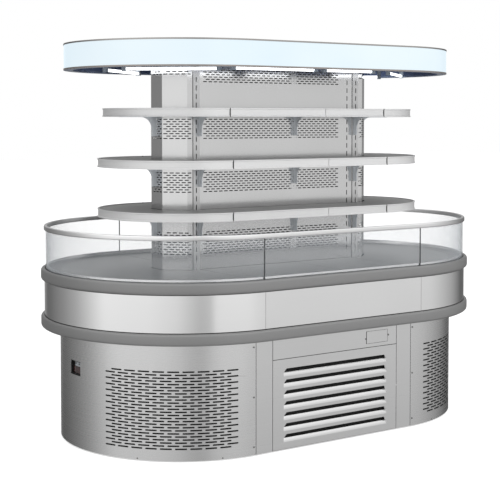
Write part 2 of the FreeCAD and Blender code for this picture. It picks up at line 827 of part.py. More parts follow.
def compressor():
    """A domed hermetic shell on a foot plate with four rubber mounts."""
    x, y = compressor_x, compressor_y
    plate_low = pan_top + mount_height
    shell_low = plate_low + foot_plate
    half_length, half_width, half_mount = foot_plate_length / 2, foot_plate_width / 2, mount_size / 2
    mounts = []
    for mount_x in (x - half_length + mount_inset, x + half_length - mount_inset):
        for mount_y in (y - half_width + mount_inset, y + half_width - mount_inset):
            mounts.append(box(mount_x - half_mount, mount_x + half_mount, mount_y - half_mount,
                              mount_y + half_mount, pan_top, plate_low))
    plate = box(x - half_length, x + half_length, y - half_width, y + half_width, plate_low, shell_low)
    wall = compressor_height - dome_height
    shell = cylinder(compressor_radius, wall, (x, y, shell_low))
    dome = Part.makeCone(compressor_radius, dome_radius, dome_height, Vector(x, y, shell_low + wall))
    terminal = box(x, x + compressor_radius + terminal_depth, y - terminal_width / 2,
                   y + terminal_width / 2, shell_low + terminal_low, shell_low + terminal_low + terminal_height)
    return [plate.multiFuse([shell, dome, terminal] + mounts).removeSplitter()]


def refrigerant_pipes():
    """Discharge line to the condenser, and the suction line up through the well floor."""
    coil_end = coil_x + coil_width / 2
    y_coil = -coil_y + coil_depth / 2
    riser_x = compressor_x - compressor_radius - pipe_bend
    z_out = pan_top + port_height
    discharge_y = compressor_y - pipe_bend / 2
    discharge = rounded_pipe([
        (compressor_x - compressor_radius, discharge_y, z_out),
        (riser_x, discharge_y, z_out),
        (riser_x, y_coil, z_out),
        (coil_end, y_coil, z_out),
    ], pipe_radius, pipe_bend / 2)
    suction_x, suction_y = suction_place()
    suction = rounded_pipe([
        (compressor_x, compressor_y - compressor_radius, z_out),
        (compressor_x, suction_y, z_out),
        (suction_x, suction_y, z_out),
        (suction_x, suction_y, well_floor_top + evaporator_height / 2),
        (evaporator_length / 2, suction_y, well_floor_top + evaporator_height / 2),
    ], suction_radius, pipe_bend / 2)
    return [discharge, suction]


def suction_place():
    """Where the suction line rises, in plan."""
    return evaporator_length / 2 + suction_gap, -evaporator_y


def condensate_pan():
    """An open tray that catches the defrost water."""
    x0, x1 = drip_x - drip_length / 2, drip_x + drip_length / 2
    y1 = rail_y - drip_setback
    y0 = y1 - drip_width
    tray = box(x0, x1, y0, y1, pan_top, pan_top + drip_height)
    hollow = box(x0 + drip_sheet, x1 - drip_sheet, y0 + drip_sheet, y1 - drip_sheet,
                 pan_top + drip_sheet, pan_top + drip_height + 1)
    return [tray.cut(hollow)]


def control_box():
    """The electrical box with its lid and two cable glands."""
    x0, x1 = box_x - box_length / 2, box_x + box_length / 2
    y1 = rail_y - box_setback
    y0 = y1 - box_width
    lid_low = pan_top + box_height
    body = box(x0, x1, y0, y1, pan_top, lid_low)
    lid = box(x0 - lid_lap, x1 + lid_lap, y0 - lid_lap, y1 + lid_lap, lid_low, lid_low + lid_height)
    glands = [cylinder(gland_radius, gland_length, (box_x + offset, y0, pan_top + gland_height), -BACKWARDS)
              for offset in gland_places]
    return [body.multiFuse([lid] + glands).removeSplitter()]


# ================================================================ bumpers, belt, well
def bumper(low):
    """A deep rail right round the cabinet with its two outer edges eased."""
    inner = well_radius + fit_gap
    top = low + bumper_height
    return [moulding([(inner, low), (bumper_radius - bumper_edge, low), (bumper_radius, low + bumper_edge),
                      (bumper_radius, top - bumper_edge), (bumper_radius - bumper_edge, top), (inner, top)])]


def belt_panels():
    """Polished sheets round the well: two rolled ends and two straight sides."""
    band = ring(belt_radius - belt_sheet, belt_radius, belt_low, belt_top)
    panels = [end_half(band, end, seam / 2) for end in (LEFT, RIGHT)]
    limit = half_straight - seam / 2
    panels += [side_run(band, side, -limit, limit) for side in (FRONT, BACK)]
    return panels


def insulated_well():
    """The foamed tub: a thick floor, and a wall whose flat top carries the glass, ledge and deck."""
    tub = slab(well_radius, skirt_top, deck_seat).cut(slab(well_wall_inner, well_floor_top, deck_seat + 1))
    suction_x, suction_y = suction_place()
    sleeve = cylinder(suction_radius + sleeve_gap, well_floor + 2, (suction_x, suction_y, skirt_top - 1))
    return [tub.cut(sleeve)]


def rim_ledge():
    """The bright ledge round the deck that holds the foot of the glass against the bumper."""
    return [ring(ledge_radius - ledge_depth, ledge_radius, deck_seat, bumper_top + ledge_rise)]


def glass_band():
    return ring(glass_radius - glass_sheet, glass_radius, glass_low, glass_top)


def glass_ends():
    return [end_half(glass_band(), end, seam / 2) for end in (LEFT, RIGHT)]


def glass_sides():
    limit = half_straight - seam / 2
    return [side_run(glass_band(), side, -limit, limit) for side in (FRONT, BACK)]


def glass_rail():
    """The handrail that caps the glass."""
    outer = glass_radius + rail_lap
    return [ring(outer - rail_depth, outer, glass_top, glass_top + rail_height)]


def return_grille():
    """The flat grille at the deck's rim that draws the cold air back, in four lengths."""
    band = ring(deck_radius - grille_width, deck_radius - fit_gap, deck_seat, deck_height)
    limit = half_straight - seam / 2
    return ([end_half(band, end, seam / 2) for end in (LEFT, RIGHT)]
            + [side_run(band, side, -limit, limit) for side in (FRONT, BACK)])


def column_plan(offset=0.0):
    """The column's outline, straight sides and chamfered ends, grown by an offset."""
    slant = math.tan(math.radians(22.5)) * offset
    shoulder, tip = column_shoulder + slant, column_tip + offset
    tip_half, side = column_tip_half + slant, column_depth + offset
    return [(-shoulder, -side), (shoulder, -side), (tip, -tip_half), (tip, tip_half),
            (shoulder, side), (-shoulder, side), (-tip, tip_half), (-tip, -tip_half)]


def deck_pans():
    """Lift-out pans: a round one at each end, a long and a short one on each side."""
    z0, z1 = deck_seat, deck_height
    whole = slab(deck_radius - grille_width - fit_gap, z0, z1)
    whole = whole.cut(prism(column_plan(standard_depth + shelf_back_gap), z0 - 1, z1 + 1))
    half_seam = shelf_seam / 2
    ends = [end_half(whole, end, half_seam) for end in (LEFT, RIGHT)]
    front = [side_run(whole, FRONT, -half_straight + half_seam, middle_seam - half_seam),
             side_run(whole, FRONT, middle_seam + half_seam, half_straight - half_seam)]
    return ends + both_sides(front)


# ================================================================ evaporator
def evaporator_coil():
    half = evaporator_length / 2
    y0 = -evaporator_y - evaporator_depth / 2
    return [box(-half, half, y0, y0 + evaporator_depth, well_floor_top, well_floor_top + evaporator_height)]


def evap_axis(x):
    return x, -plenum_y + evap_fan_gap, well_floor_top + evap_fan_radius + evap_fan_lift


def evap_fan_plenum():
    """The upright plate with two fan rings, and a motor behind each on a bracket."""
    half = evaporator_length / 2
    top = deck_seat - fit_gap
    plate = box(-half, half, -plenum_y, -plenum_y + plenum_sheet, well_floor_top, top)
    motors = []
    for fan_x in (-evap_fan_x, evap_fan_x):
        x, y, z = evap_axis(fan_x)
        mouth = cylinder(evap_fan_radius + fan_ring_gap, 3 * plenum_sheet, (x, -plenum_y - plenum_sheet, z),
                         BACKWARDS)
        plate = plate.cut(mouth)
        motors.append(fan_motor((x, y + evap_motor_gap, z), evap_motor_radius, evap_motor_length,
                                evap_shaft_grip, evap_motor_foot, evap_motor_foot_inset, well_floor_top))
    return [plate] + motors


def evap_fan(x):
    return fan_wheel(evap_axis(x), evap_fan_radius, evap_hub_radius, evap_hub_length,
                     evap_motor_gap + evap_shaft_grip)


# ================================================================ column
def column_frame():
    """Four posts from the well floor to the canopy, tied across at the foot, middle and head."""
    half = upright / 2
    outer_y = column_depth - column_sheet - fit_gap
    bars = []
    for x in (-upright_x, upright_x):
        for y in (-outer_y + half, outer_y - half):
            bars.append(box(x - half, x + half, y - half, y + half, well_floor_top, column_top))
    for z in (deck_height + tie_lift, shelf_tops[0] + tie_rise, shelf_tops[1] + tie_rise, column_top - upright):
        for x in (-upright_x, upright_x):
            bars.append(box(x - half, x + half, -outer_y + upright, outer_y - upright, z, z + upright))
        for side in (FRONT, BACK):
            y0, y1 = sorted((side * outer_y, side * (outer_y - upright)))
            tie = box(-upright_x + half, upright_x - half, y0, y1, z, z + upright)
            bars.append(tie.cut(Part.makeCompound(inner_standard_rooms())))
    return bars


def inner_standard_rooms():
    """The notches in the ties that hold the middle standards against the inside of the front panels."""
    half = standard_width / 2 + fit_gap
    return both_sides([box(middle_seam - half, middle_seam + half, -column_depth, inner_standard_back(),
                           well_floor_top, column_top)])


def inner_standard_back():
    return -column_depth + column_sheet + standard_depth


def slot_band(x0, x1, low, height, y):
    """Long narrow air slots in staggered rows across one stretch of a front panel."""
    cutters = []
    rows = int(height // band_row_pitch) + 1
    pitch = (x1 - x0) / band_slots
    for row in range(rows):
        z = low + row * band_row_pitch
        stagger = pitch / 2 if row % 2 else 0
        for number in range(band_slots - row % 2):
            start = x0 + number * pitch + stagger + band_gap / 2
            cutters.append(box(start, start + pitch - band_gap, y - 5, y + 5, z, z + band_slot_height))
    return cutters


def column_side_panels():
    """A polished panel on each long side: four bands of air slots, and slots for the middle brackets."""
    y = -column_depth
    limit = upright_x - upright / 2 - fit_gap
    panel = box(-limit, limit, y, y + column_sheet, deck_seat, column_top)
    left, right = band_insets
    cutters = hook_slots(middle_seam)
    for floor, rise, height in zip((deck_height,) + shelf_tops, band_rises, band_heights):
        cutters += slot_band(-limit + left, limit - right, floor + rise, height, y)
    return both_sides([panel.cut(Part.makeCompound(cutters))])


def column_end_panels():
    """One folded sheet round each end of the column."""
    low, high = deck_seat, column_top
    outer = prism(column_plan(0), low, high)
    inner = prism(column_plan(-column_sheet), low - 1, high + 1)
    shell = outer.cut(inner)
    start = upright_x + upright / 2 + fit_gap
    panels = []
    for end in (LEFT, RIGHT):
        x0, x1 = sorted((end * start, end * column_tip * 2))
        sheet = shell.common(box(x0, x1, -column_depth, column_depth, low, high))
        fold_x0, fold_x1 = sorted((end * start, end * (start + column_sheet)))
        for side in (FRONT, BACK):
            y0, y1 = sorted((side * column_depth, side * (column_depth - column_fold)))
            sheet = sheet.fuse(box(fold_x0, fold_x1, y0, y1, low, high))
        panels.append(sheet.removeSplitter())
    return panels


def bracket_places():
    """Where shelf brackets plug in along the front: the plate's middle along X."""
    return (-bracket_x, middle_seam, bracket_x)


def hook_slots(x):
    """The slots that one upright line of brackets hooks into, through sheet and standard."""
    slots = []
    for top in shelf_tops:
        for drop in hook_drops:
            z = bracket_top(top) - drop
            slots.append(box(x - hook_slot / 2, x + hook_slot / 2, -column_depth - standard_depth - 1,
                             inner_standard_back() + 1, z - hook_length, z))
    return slots


def shelf_standards():
    """Slotted uprights that the brackets hook into: at the corners, and hidden behind the middle."""
    standards = []
    for centre, hook_x in zip((-upright_x, middle_seam, upright_x), bracket_places()):
        y0, y1 = -column_depth - standard_depth, -column_depth + column_sheet
        if centre == middle_seam:
            y0, y1 = y1, inner_standard_back()
        strip = box(centre - standard_width / 2, centre + standard_width / 2, y0, y1, deck_height,
                    canopy_low + trim_height)
        standards.append(strip.cut(Part.makeCompound(hook_slots(hook_x))))
    return both_sides(standards)


def bracket_top(shelf_top):
    return shelf_top - shelf_drop - shelf_thickness


# ================================================================ shelves
def shelf_bracket(x, radius, shelf_top):
    """A plate with a slender arm, a hollow curve under it and two hooks in the standard."""
    wall_y = -column_depth - (0 if x == middle_seam else standard_depth)
    hook_reach = standard_depth - fit_gap + (column_sheet if x == middle_seam else 0)
    tip_y = -radius + bracket_setback
    top = bracket_top(shelf_top)
    arm_low = top - bracket_tip
    root_low = top - bracket_root
    reach = bracket_fillet
    neck_y = wall_y - bracket_neck
    bend_y = neck_y - reach
    mid = reach * (1 - math.sqrt(0.5))
    x0 = x - bracket_sheet / 2
    points = [Vector(x0, wall_y, top), Vector(x0, tip_y, top), Vector(x0, tip_y, arm_low),
              Vector(x0, bend_y, arm_low), Vector(x0, neck_y, arm_low - reach),
              Vector(x0, neck_y, root_low), Vector(x0, wall_y, root_low)]
    lines = [Part.makeLine(a, b) for a, b in zip(points, points[1:] + points[:1])]
    lines[3] = Part.Arc(points[3], Vector(x0, bend_y + reach - mid, arm_low - mid), points[4]).toShape()
    plate = Part.Face(Part.Wire(lines)).extrude(Vector(bracket_sheet, 0, 0))
    hooks = [box(x0, x0 + bracket_sheet, wall_y - 1, wall_y + hook_reach,
                 top - drop - hook_length + hook_play, top - drop - hook_play) for drop in hook_drops]
    return plate.multiFuse(hooks).removeSplitter()


def shelf_brackets():
    brackets = [shelf_bracket(x, radius, top)
                for radius, top in zip(shelf_radii, shelf_tops) for x in bracket_places()]
    return both_sides(brackets)


def shelf_pieces(whole):
    """A tier comes in six pieces: two round ends, and a long and a short one on each side."""
    half_seam = shelf_seam / 2
    ends = [end_half(whole, end, half_seam) for end in (LEFT, RIGHT)]
    front = [side_run(whole, FRONT, -half_straight + half_seam, middle_seam - half_seam),
             side_run(whole, FRONT, middle_seam + half_seam, half_straight - half_seam)]
    return ends + both_sides(front)


def shelf_tier(radius, top):
    z1 = top - shelf_drop
    z0 = z1 - shelf_thickness
    whole = slab(radius - rail_face_depth, z0, z1)
    inner = prism(column_plan(standard_depth + shelf_back_gap), z0 - 1, z1 + 1)
    return shelf_pieces(whole.cut(inner))


def ticket_rails():
    """The price-strip rails along every shelf's edge."""
    rails = []
    for radius, top in zip(shelf_radii, shelf_tops):
        rails += shelf_pieces(ring(radius - rail_face_depth, radius, top - rail_face_height, top))
    return rails


# ================================================================ canopy
def canopy_tray():
    """The canopy's underside: an outer flange, an upright step and the polished ceiling."""
    flange_in = canopy_radius - flange_width
    rim = moulding([(flange_in, canopy_low), (canopy_radius, canopy_low),
                    (canopy_radius, canopy_low + trim_height), (flange_in + tray_sheet, canopy_low + trim_height),
                    (flange_in + tray_sheet, ceiling + tray_sheet), (flange_in, ceiling + tray_sheet)])
    return [rim.fuse(slab(flange_in + 1, ceiling, ceiling + tray_sheet)).removeSplitter()]


def fascia():
    """Translucent panels round the canopy: two rolled ends and two straight sides."""
    outer = canopy_radius - fascia_inset
    band = ring(outer - fascia_sheet, outer, canopy_low + trim_height, overall_height - trim_height)
    limit = half_straight - seam / 2
    return ([end_half(band, end, seam / 2) for end in (LEFT, RIGHT)]
            + [side_run(band, side, -limit, limit) for side in (FRONT, BACK)])


def canopy_lid():
    """The top panel, whose edge is the trim that caps the fascia."""
    return [slab(canopy_radius, overall_height - trim_height, overall_height)]


def lamp_lines():
    """Both ends of every tube lamp in plan."""
    lines = []
    for side in (FRONT, BACK):
        for x0, x1 in lamp_spans:
            lines.append(((-side * x0, side * lamp_y), (-side * x1, side * lamp_y)))
        for end in (LEFT, RIGHT):
            lines.append(((end * corner_lamp_outer[0], side * corner_lamp_outer[1]),
                          (end * corner_lamp_inner[0], side * corner_lamp_inner[1])))
    return lines


def lamp_tubes():
    z = canopy_low - lamp_drop
    tubes = []
    for start, end in lamp_lines():
        a, b = Vector(*start, z), Vector(*end, z)
        along = (b - a).normalize()
        length = (b - a).Length - holder
        tubes.append(hex_prism(lamp_radius, length, a + along * (holder / 2), along))
    return tubes


def lamp_holders():
    """A block at each end of every tube, hung from the ceiling."""
    z = canopy_low - lamp_drop
    blocks = []
    for start, end in lamp_lines():
        a, b = Vector(*start, 0), Vector(*end, 0)
        angle = math.degrees(math.atan2(b.y - a.y, b.x - a.x))
        for place in (a, b):
            block = box(-holder / 2, holder / 2, -holder / 2, holder / 2, z - lamp_radius - holder_lip, ceiling)
            block.rotate(Vector(0, 0, 0), UP, angle)
            block.translate(Vector(place.x, place.y, 0))
            blocks.append(block)
    return blocks


# ================================================================ build
os.makedirs("parts", exist_ok=True)

save("base_frame", frame_bars())
save("base_pan", base_pan())
foot_places = [(x, y) for y in (-rail_y, rail_y) for x in (-foot_x, foot_x)]
for number, (x, y) in enumerate(foot_places, start=1):
    save("level_foot_%d" % number, level_foot(x, y))

save("end_skirt_left", end_skirt(LEFT))
save("end_skirt_right", end_skirt(RIGHT))
save("skirt_posts", skirt_posts())
save("header_front", header_with_flap())
save("header_back", [turned(header())])
save("louver_panel_front", [louver_panel()])
save("louver_panel_back", [turned(louver_panel())])
save("panel_screws", panel_screws())

save("access_flap", access_flap())
save("flap_pin", flap_pin())
save("switch_box", switch_box())
save("main_switch", rocker(rocker_places()[0]))
save("light_switch", rocker(rocker_places()[1]))
save("controller_case", controller_case())
save("controller_lens", controller_lens())
save("down_button", button(button_places()[0]))
save("up_button", button(button_places()[1]))

save("compressor", compressor())
save("condenser_coil", condenser_coil())
save("condenser_shroud", condenser_shroud())
save("condenser_fan", condenser_fan())
save("condenser_motor", condenser_motor())
save("refrigerant_pipes", refrigerant_pipes())
save("condensate_pan", condensate_pan())
save("control_box", control_box())

save("lower_bumper", bumper(skirt_top))
save("upper_bumper", bumper(belt_top))
save("belt_panels", belt_panels())
save("insulated_well", insulated_well())
save("rim_ledge", rim_ledge())
save("glass_ends", glass_ends())
save("glass_sides", glass_sides())
save("glass_rail", glass_rail())
save("return_grille", return_grille())
save("deck_pans", deck_pans())

save("evaporator_coil", evaporator_coil())
save("evap_fan_plenum", evap_fan_plenum())
save("evap_fan_left", evap_fan(-evap_fan_x))
save("evap_fan_right", evap_fan(evap_fan_x))

save("column_frame", column_frame())
save("column_side_panels", column_side_panels())
save("column_end_panels", column_end_panels())
save("shelf_standards", shelf_standards())
save("shelf_brackets", shelf_brackets())
for name, radius, top in zip(shelf_names, shelf_radii, shelf_tops):
    save(name, shelf_tier(radius, top))
save("ticket_rails", ticket_rails())

save("canopy_tray", canopy_tray())
save("fascia", fascia())
save("canopy_lid", canopy_lid())
save("lamp_tubes", lamp_tubes())
save("lamp_holders", lamp_holders())
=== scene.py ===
import math

import bmesh
import bpy
import numpy as np
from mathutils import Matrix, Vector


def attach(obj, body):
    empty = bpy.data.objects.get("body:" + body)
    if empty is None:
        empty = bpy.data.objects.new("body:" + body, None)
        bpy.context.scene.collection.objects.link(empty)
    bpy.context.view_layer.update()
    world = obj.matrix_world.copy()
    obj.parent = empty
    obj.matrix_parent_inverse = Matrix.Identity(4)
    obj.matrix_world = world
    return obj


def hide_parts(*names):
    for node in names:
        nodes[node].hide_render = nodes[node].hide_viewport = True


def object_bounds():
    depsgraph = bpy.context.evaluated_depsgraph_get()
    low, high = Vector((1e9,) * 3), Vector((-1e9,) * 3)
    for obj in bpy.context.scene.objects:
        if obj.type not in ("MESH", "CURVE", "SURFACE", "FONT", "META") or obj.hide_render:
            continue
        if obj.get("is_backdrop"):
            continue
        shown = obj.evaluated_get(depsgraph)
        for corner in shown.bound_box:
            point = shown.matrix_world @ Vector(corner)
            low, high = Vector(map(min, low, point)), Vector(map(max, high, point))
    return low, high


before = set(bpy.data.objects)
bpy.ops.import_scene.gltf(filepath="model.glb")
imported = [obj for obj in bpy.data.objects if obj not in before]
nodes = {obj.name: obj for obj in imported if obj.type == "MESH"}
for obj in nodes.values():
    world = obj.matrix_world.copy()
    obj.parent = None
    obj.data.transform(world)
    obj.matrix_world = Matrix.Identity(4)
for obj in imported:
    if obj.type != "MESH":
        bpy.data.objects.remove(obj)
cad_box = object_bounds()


# ---------------------------------------------------------------- base frame and feet
# Square steel tubes welded into a tray, powder coated dark grey, with a folded zinc-plated pan on top
# and four zinc-plated levelling feet turned up into the bottom rails.
class Signal:
    """A value that varies over a surface. Arithmetic on it adds the maths to its finish."""

    def __init__(self, finish, socket):
        self.finish = finish
        self.socket = socket

    def maths(self, operation, first, second):
        return self.finish.node("ShaderNodeMath", {"operation": operation}, {0: first, 1: second})

    def __add__(self, other):
        return self.maths("ADD", self, other)

    def __radd__(self, other):
        return self.maths("ADD", other, self)

    def __sub__(self, other):
        return self.maths("SUBTRACT", self, other)

    def __rsub__(self, other):
        return self.maths("SUBTRACT", other, self)

    def __mul__(self, other):
        return self.maths("MULTIPLY", self, other)

    def __rmul__(self, other):
        return self.maths("MULTIPLY", other, self)


class Finish:
    """One finish as a material: its shader's fixed values, and one method that adds any node."""

    def __init__(self, name, values, library=bpy.data.materials, shader="Principled BSDF"):
        self.material = library.new(name)
        self.material.use_nodes = True
        self.tree = self.material.node_tree
        self.shader = self.tree.nodes[shader]
        self.set(values)

    def feed(self, socket, value):
        if isinstance(value, Signal):
            self.tree.links.new(value.socket, socket)
        else:
            socket.default_value = value

    def set(self, values):
        for name, value in values.items():
            self.feed(self.shader.inputs[name], value)

    def node(self, kind, settings, sockets, output=0):
        made = self.tree.nodes.new(kind)
        for name, value in settings.items():
            if name == "stops":
                ramp = made.color_ramp.elements
                while len(ramp) < len(value):
                    ramp.new(0.5)
                for element, (position, colour) in zip(ramp, value):
                    element.position = position
                    element.color = colour
            else:
                setattr(made, name, value)
        for name, value in sockets.items():
            self.feed(made.inputs[name], value)
        return Signal(self, made.outputs[output])

    def place(self):
        """Where on the object a point lies, in metres."""
        return self.node("ShaderNodeTexCoord", {}, {}, "Object")

    def noise(self, scale, detail=2.0, stretch=(1.0, 1.0, 1.0)):
        spread = self.node("ShaderNodeMapping", {}, {"Vector": self.place(), "Scale": stretch})
        return self.node("ShaderNodeTexNoise", {}, {"Vector": spread, "Scale": scale, "Detail": detail})

    def blend(self, factor, first, second):
        return self.node("ShaderNodeMix", {"data_type": "RGBA"}, {0: factor, 6: first, 7: second}, 2)

    def bump(self, height, strength, distance):
        return self.node("ShaderNodeBump", {}, {"Height": height, "Strength": strength, "Distance": distance})


def shade(level, warmth=0.0):
    """An opaque grey, by its linear level, with a little yellow or blue."""
    return (level * (1 + warmth), level, level * (1 - warmth), 1.0)


def wear(node_names, finish):
    """Puts a finish on pieces that keep the shape the CAD gives them."""
    for name in node_names:
        mesh = nodes[name].data
        mesh.materials.clear()
        mesh.materials.append(finish.material)


def powder_coat(name, level, roughness=0.5, warmth=0.0):
    """Baked powder paint: fine orange peel and slightly uneven gloss."""
    finish = Finish(name, {"Metallic": 0.0})
    peel = finish.noise(700.0, 3.0)
    drift = finish.noise(9.0)
    finish.set({
        "Base Color": finish.blend(drift, shade(level * 0.93, warmth), shade(level * 1.07, warmth)),
        "Roughness": roughness + 0.1 * drift,
        "Normal": finish.bump(peel, 0.12, 0.0004),
    })
    return finish


def zinc_plate(name, level=0.55):
    """Bright zinc with cloudy passivation."""
    finish = Finish(name, {"Metallic": 1.0})
    cloud = finish.noise(26.0, 4.0)
    finish.set({
        "Base Color": finish.blend(cloud, shade(level * 0.8, -0.02), shade(level * 1.15, 0.03)),
        "Roughness": 0.28 + 0.22 * cloud,
    })
    return finish


frame_paint = powder_coat("frame_paint", 0.05)
wear(["base_frame"], frame_paint)
feet_zinc = zinc_plate("feet_zinc")
wear(["base_pan", "level_foot_1", "level_foot_2", "level_foot_3", "level_foot_4"], feet_zinc)


# ---------------------------------------------------------------- end skirts
# One stainless sheet rolled round each end of the machine bay, brushed along its length, with fields
# of staggered slots for the condenser's air and a black filter mat clipped behind each field. The left
# one has the window of the temperature controller.
half_straight = 0.508
skirt_seam = 0.003
skirt_radius = 0.664
skirt_sheet = 0.002
skirt_low, skirt_top = 0.006, 0.583
slot_length, slot_height, slot_ease = 0.060, 0.0076, 0.0028
slot_pitch, slot_row_pitch = 0.0739, 0.01508
slot_rows, slots_in_row = 26, 9
slot_field_start, slot_field_low = 0.255, 0.0610
slot_field_end = slot_field_start + (slots_in_row + 0.5) * slot_pitch
slot_field_top = slot_field_low + slot_rows * slot_row_pitch
mat_gap, mat_sheet, mat_margin = 0.004, 0.001, 0.012
window_y0, window_y1, window_z0, window_z1 = -0.066, 0.034, 0.372, 0.444


def brushed_steel(name, level, roughness, streak, drift=0.04, grain=(2.0, 2.0, 260.0), warmth=0.0):
    """Stainless sheet: long fine streaks along the grain, and broad soft changes from rolling."""
    finish = Finish(name, {"Metallic": 1.0})
    streaks = finish.noise(1.0, 4.0, grain)
    broad = finish.noise(2.3)
    tone = 0.5 + (streaks - 0.5) * (streak / 0.08) + (broad - 0.5) * (drift / 0.08)
    finish.set({
        "Base Color": finish.blend(tone, shade(level * 0.92, warmth), shade(level * 1.08, warmth)),
        "Roughness": roughness + 0.12 * (streaks - 0.5),
        "Normal": finish.bump(streaks, 0.02, 0.0003),
    })
    return finish


def weld(name, parts, finishes, replaced=(), body="cabinet", smooth=30.0):
    """Makes one piece from lists of (corners, faces), smooths its gentle edges and hangs it on its body.

    A third list, where a part has one, says which of the finishes each face wears."""
    corners, faces, worn = [], [], []
    for part_corners, part_faces, *coats in parts:
        base = len(corners)
        corners.extend(map(tuple, part_corners))
        faces.extend(tuple(base + int(index) for index in face) for face in part_faces)
        worn.extend(coats[0] if coats else [0] * len(part_faces))
    mesh = bpy.data.meshes.new(name)
    mesh.from_pydata(corners, [], faces)
    tidy = bmesh.new()
    tidy.from_mesh(mesh)
    bmesh.ops.recalc_face_normals(tidy, faces=tidy.faces)
    tidy.to_mesh(mesh)
    tidy.free()
    mesh.polygons.foreach_set("use_smooth", [True] * len(mesh.polygons))
    mesh.set_sharp_from_angle(angle=math.radians(smooth))
    mesh.polygons.foreach_set("material_index", worn)
    for finish in finishes:
        mesh.materials.append(finish.material)
    piece = bpy.data.objects.new(name, mesh)
    bpy.context.scene.collection.objects.link(piece)
    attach(piece, body)
    if replaced:
        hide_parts(*replaced)
    return piece


def pierced_sheet(u_span, v_span, windows, place, sheet, finest=0.04):
    """A sheet on a grid whose lines run through the edges of its windows (u0, u1, v0, v1, ease, low ease).

    place turns u, v and a depth into X, Y and Z. The eases draw in the upper and lower corners of a window.
    The sheet's face and edges wear the first finish, and its back the second."""
    table = np.array(windows).round(6).reshape(-1, 6)
    u_lines = np.unique(np.concatenate([table[:, 0], table[:, 1], u_span]).round(6))
    v_middles = (table[:, 2] + table[:, 3]) / 2
    v_lines = np.unique(np.concatenate([table[:, 2], table[:, 3], v_middles, v_span]).round(6))
    filled = [u_lines[:1]]
    for low, high in zip(u_lines, u_lines[1:]):
        steps = max(1, math.ceil((high - low) / finest))
        filled.append(np.linspace(low, high, steps + 1)[1:])
    u_lines = np.concatenate(filled)
    u, v = np.meshgrid(u_lines, v_lines, indexing="ij")
    solid = np.ones((len(u_lines) - 1, len(v_lines) - 1), bool)
    for u0, u1, v0, v1, ease, low_ease in table:
        i0, i1 = np.abs(u_lines - u0).argmin(), np.abs(u_lines - u1).argmin()
        j0, j1 = np.abs(v_lines - v0).argmin(), np.abs(v_lines - v1).argmin()
        solid[i0:i1, j0:j1] = False
        u[i0, [j0, j1]] += low_ease, ease
        u[i1, [j0, j1]] -= low_ease, ease
    layers = [np.stack(np.broadcast_arrays(*place(u, v, depth)), -1).reshape(-1, 3) for depth in (0.0, sheet)]
    across, count = len(v_lines), u.size
    index = np.arange(count).reshape(u.shape)
    a, b = index[:-1, :-1][solid], index[1:, :-1][solid]
    c, d = index[1:, 1:][solid], index[:-1, 1:][solid]
    faces = [np.stack([a, b, c, d], 1), np.stack([a, d, c, b], 1) + count]
    outside = len(faces[0])
    framed = np.pad(solid, 1)
    for step_u, step_v in ((1, 0), (-1, 0), (0, 1), (0, -1)):
        beside = framed[1 + step_u:framed.shape[0] - 1 + step_u, 1 + step_v:framed.shape[1] - 1 + step_v]
        i, j = np.nonzero(solid & ~beside)
        if step_u:
            first = index[i + (step_u > 0), j]
            second = first + 1
        else:
            first = index[i, j + (step_v > 0)]
            second = first + across
        faces.append(np.stack([first, second, second + count, first + count], 1))
    faces = np.concatenate(faces)
    coats = [0] * outside + [1] * outside + [0] * (len(faces) - 2 * outside)
    used, faces = np.unique(faces, return_inverse=True)
    return np.concatenate(layers)[used], faces.reshape(-1, 4), coats


def round_end(end, radius):
    """Puts u, the distance round an end from its tip, and a height on that end. +1 is the right end."""
    def place(u, v, depth):
        angle = u / radius
        reach = radius - depth
        return end * (half_straight + reach * np.cos(angle)), reach * np.sin(angle), v
    return place


skirt_windows = []
for row in range(slot_rows):
    low = slot_field_low + row * slot_row_pitch
    for column in range(slots_in_row):
        start = slot_field_start + column * slot_pitch + (row % 2) * slot_pitch / 2
        for u0, u1 in ((start, start + slot_length), (-start - slot_length, -start)):
            skirt_windows.append((u0, u1, low, low + slot_height, slot_ease, slot_ease))
skirt_reach = skirt_radius * math.acos(skirt_seam / 2 / skirt_radius)
controller_window = tuple(skirt_radius * math.asin(y / skirt_radius) for y in (window_y0, window_y1))
skirt_steel = brushed_steel("skirt_steel", 0.68, 0.28, 0.03)
# inside_shade: a near-black coat on the backs of the pierced sheets and on the duct sheets. It is painted shade, so
# that the slots look dark into the closed inside.
inside_shade = powder_coat("inside_shade", 0.012, 0.8)
filter_foam = Finish("filter_foam", {"Metallic": 0.0, "Roughness": 0.95})
cells = filter_foam.noise(900.0, 2.0)
filter_foam.set({"Base Color": filter_foam.blend(cells, shade(0.004), shade(0.02)),
                 "Normal": filter_foam.bump(cells, 0.6, 0.001)})
for end, node, more in ((1, "end_skirt_right", []),
                        (-1, "end_skirt_left", [controller_window + (window_z0, window_z1, 0.0, 0.0)])):
    sheet = pierced_sheet((-skirt_reach, skirt_reach), (skirt_low, skirt_top), skirt_windows + more,
                          round_end(end, skirt_radius), skirt_sheet, 0.03)
    name = "_right" if end > 0 else "_left"
    weld("skirt" + name, [sheet], [skirt_steel, inside_shade], [node])
    mats = [pierced_sheet((start - mat_margin, finish + mat_margin),
                          (slot_field_low - mat_margin, slot_field_top + mat_margin), [],
                          round_end(end, skirt_radius - skirt_sheet - mat_gap), mat_sheet)
            for start, finish in ((slot_field_start, slot_field_end), (-slot_field_end, -slot_field_start))]
    weld("filter_mats" + name, mats, [filter_foam, filter_foam])


